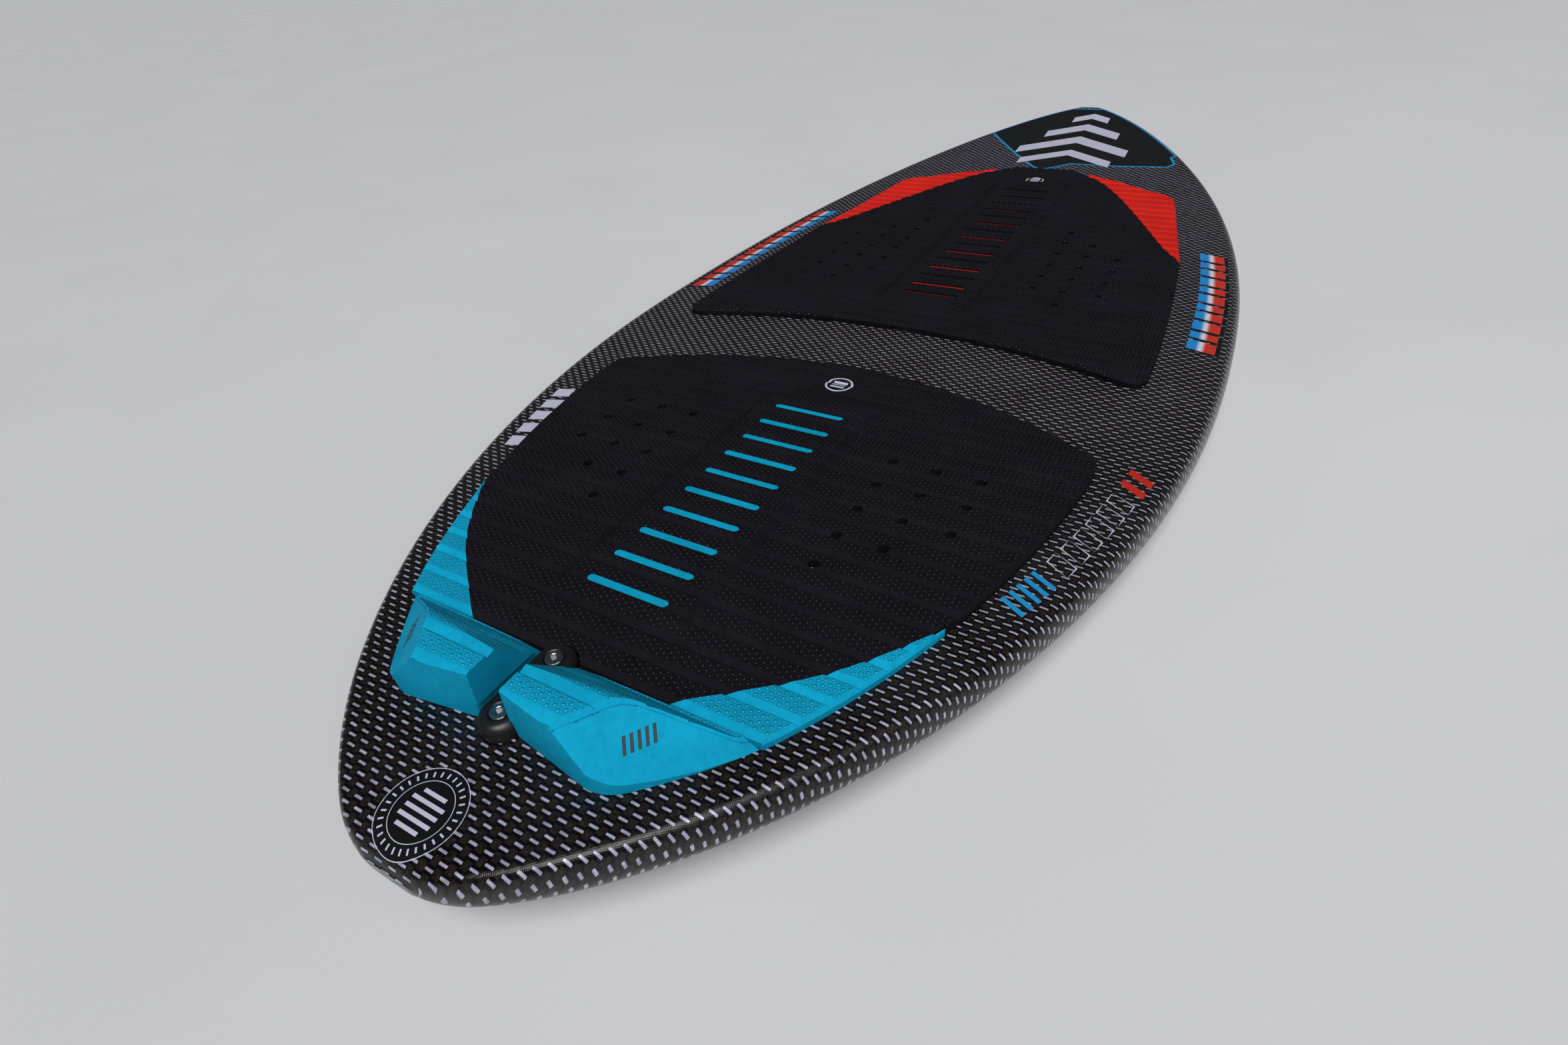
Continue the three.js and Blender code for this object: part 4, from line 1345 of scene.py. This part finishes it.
def make_nose_panel():
    printed("nose_panel_edge", [nose_panel_outline(0)], "blue_ink", lift=PRINT, step=2.5)
    printed("nose_panel_field", [nose_panel_outline(3.2)], "black_ink", lift=PRINT * 1.8, step=2.5)
    chevrons = [chevron(648, 26, 20), chevron(606, 52, 24), chevron(557, 76, 26), chevron(503, 62, 22)]
    printed("nose_chevrons", chevrons, "pale_ink", lift=PRINT * 2.6)


def make_badges():
    """A ring round three short bars at the nose end of each pad."""
    for end, y in (("rear", -236), ("front", 360)):
        look = {"material": "pale_ink", "step": 0.8, "surface": pad_top(RIB_PHASE[end], BARS[end])}
        printed(f"{end}_badge_ring", [circle((0, y), 11.5)], holes=[circle((0, y), 9.8)], **look)
        bars = [rectangle(-6, y + dy, 6, y + dy + 2.2) for dy in (-5.1, -1.1, 2.9)]
        printed(f"{end}_badge_bars", bars, **look)


TAIL_SEAL = {"y": -659, "outer": 21.5, "inner": 15, "line": 0.35, "ticks": 30, "tick_width": 0.9}


def make_tail_seal():
    """A black disc with five pale bars, inside two hairline rings with ticks between them."""
    centre = np.array((0, TAIL_SEAL["y"]))
    look = {"material": "pale_ink", "step": 1.5}
    for name in ("outer", "inner"):
        radius = TAIL_SEAL[name]
        hole = [circle(centre, radius - TAIL_SEAL["line"], 72)]
        printed(f"tail_seal_{name}", [circle(centre, radius, 72)], holes=hole, **look)
    field = [circle(centre, TAIL_SEAL["outer"] - 0.6, 72)]
    printed("tail_seal_field", field, "black_ink", lift=PRINT * 0.6, step=1.5)
    ticks = []
    for i in range(TAIL_SEAL["ticks"]):
        angle = 2 * pi * i / TAIL_SEAL["ticks"]
        outwards = np.array([cos(angle), sin(angle)])
        side = np.array([-outwards[1], outwards[0]]) * TAIL_SEAL["tick_width"] / 2
        low = centre + outwards * (TAIL_SEAL["inner"] + 1.7)
        high = centre + outwards * (TAIL_SEAL["outer"] - 2.2)
        ticks.append([low - side, low + side, high + side, high - side])
    printed("tail_seal_ticks", ticks, **look)
    bars = [rectangle(-w, y, w, y + 1.9)
            for w, y in ((7, -668.5), (10, -664.3), (10, -660.1), (10, -655.9), (7, -651.7))]
    printed("tail_seal_bars", bars, lift=PRINT * 1.6, **look)


FACET_MARKS = {"centre": (76, -593.5), "along": (0.57, 0.82), "up": (-0.82, 0.57), "count": 5,
               "pitch": 3.6, "width": 1.7, "height": 6, "lean": 2.4}


def make_facet_marks():
    """A row of small dark leaning bars on each kick block's outer facet."""
    along, up = np.array(FACET_MARKS["along"]), np.array(FACET_MARKS["up"]) * FACET_MARKS["height"]
    width, lean = along * FACET_MARKS["width"], along * FACET_MARKS["lean"]
    bars = []
    for i in range(FACET_MARKS["count"]):
        shift = (i - FACET_MARKS["count"] / 2) * FACET_MARKS["pitch"]
        foot = np.array(FACET_MARKS["centre"]) + along * shift - up / 2
        bars.append([foot, foot + width, foot + width + lean + up, foot + lean + up])
    marks = joined([straight_prism("facet_marks_right", bar, high=PRINT_TOOL_HIGH) for bar in bars])
    combine(marks, plane_slab("sheet", KICK["facet"], (1, 0, 1), -0.3, PRINT), "INTERSECT")
    copy = mirrored(marks, "facet_marks_left")
    for piece in (marks, copy):
        add_piece(crease(piece), "board", "dark_blue_ink")


def make_graphics():
    make_rail_bars("right_rail", 1, -56, 160)
    make_rail_bars("left_rail", -1, -74, 186)
    make_white_marks()
    make_outline_marks()
    make_nose_panel()
    make_badges()
    make_tail_seal()
    make_facet_marks()


# ---------------------------------------------------------------- stage, lights and camera


# Sizes and places here are in metres.
FLOOR = {"reach": 30, "drop": 0.0004}
SOFTBOX = {"place": (1.9, -1.1, 1.7), "power": 12, "size": 1.8, "colour": (0.95, 0.95, 1.0)}
KEY_LIGHT = {"direction": (-0.4, 0.85, -1.8), "strength": 2.6, "angle": 40}
SKY = {"colour": (0.8, 0.82, 0.88, 1), "strength": 0.06}


def make_floor():
    """A plain pale floor."""
    mesh = bpy.data.meshes.new("floor")
    reach = FLOOR["reach"]
    mesh.from_pydata([(x, y, 0) for x, y in rectangle(-reach, -reach, reach, reach)], [], [(0, 1, 2, 3)])
    floor = add_object("floor", mesh)
    floor.location.z = -FLOOR["drop"]
    shader = Shader("floor")
    x, y, z = shader.place()
    cloud = shader.noise(x / 300, y / 300, z)
    shader.set(Base_Color=shader.mix(cloud, (0.62, 0.62, 0.64), (0.68, 0.68, 0.7)), Roughness=0.8)
    paint(floor, "floor")


def add_light(name, kind, place, direction, energy):
    light = bpy.data.lights.new(name, kind)
    light.energy = energy
    lamp = add_object(name, light)
    lamp.location = place
    lamp.rotation_euler = Vector(direction).to_track_quat("-Z", "Y").to_euler()
    return light


def make_lights():
    """A soft box to the right of the tail, a broad key light from the left, and a faint sky."""
    middle = (cad_box[0] + cad_box[1]) / 2
    place = Vector(SOFTBOX["place"])
    softbox = add_light("side", "AREA", place, middle - place, SOFTBOX["power"])
    softbox.shape = "RECTANGLE"
    softbox.size = softbox.size_y = SOFTBOX["size"]
    softbox.color = SOFTBOX["colour"]
    key = add_light("key", "SUN", (0, 0, 0), KEY_LIGHT["direction"], KEY_LIGHT["strength"])
    key.angle = radians(KEY_LIGHT["angle"])
    world = bpy.data.worlds.new("studio")
    world.use_nodes = True
    sky = world.node_tree.nodes["Background"]
    sky.inputs["Color"].default_value = SKY["colour"]
    sky.inputs["Strength"].default_value = SKY["strength"]
    bpy.context.scene.world = world
    bpy.context.scene.view_settings.view_transform = "Standard"


CAMERA = {
    "place": (0.2478, -0.7240, 0.3557),
    "right": (0.87114, 0.48466, -0.07885),
    "forward": (-0.41914, 0.65030, -0.63359),
    "lens": 17.35,
    "sensor": 36,
}


def make_camera():
    camera = bpy.data.cameras.new("camera")
    camera.lens = CAMERA["lens"]
    camera.sensor_width = CAMERA["sensor"]
    camera.clip_start, camera.clip_end = 0.01, 100
    right, forward = Vector(CAMERA["right"]).normalized(), Vector(CAMERA["forward"]).normalized()
    up = right.cross(forward).normalized()
    turn = Matrix((right, up, -forward)).transposed().to_4x4()
    rig = add_object("camera", camera)
    rig.matrix_world = Matrix.Translation(CAMERA["place"]) @ turn
    bpy.context.scene.camera = rig


make_camera()
make_materials()
make_hull()
make_core()
make_pads()
make_kick_blocks()
make_hardware()
make_graphics()
make_floor()
make_lights()
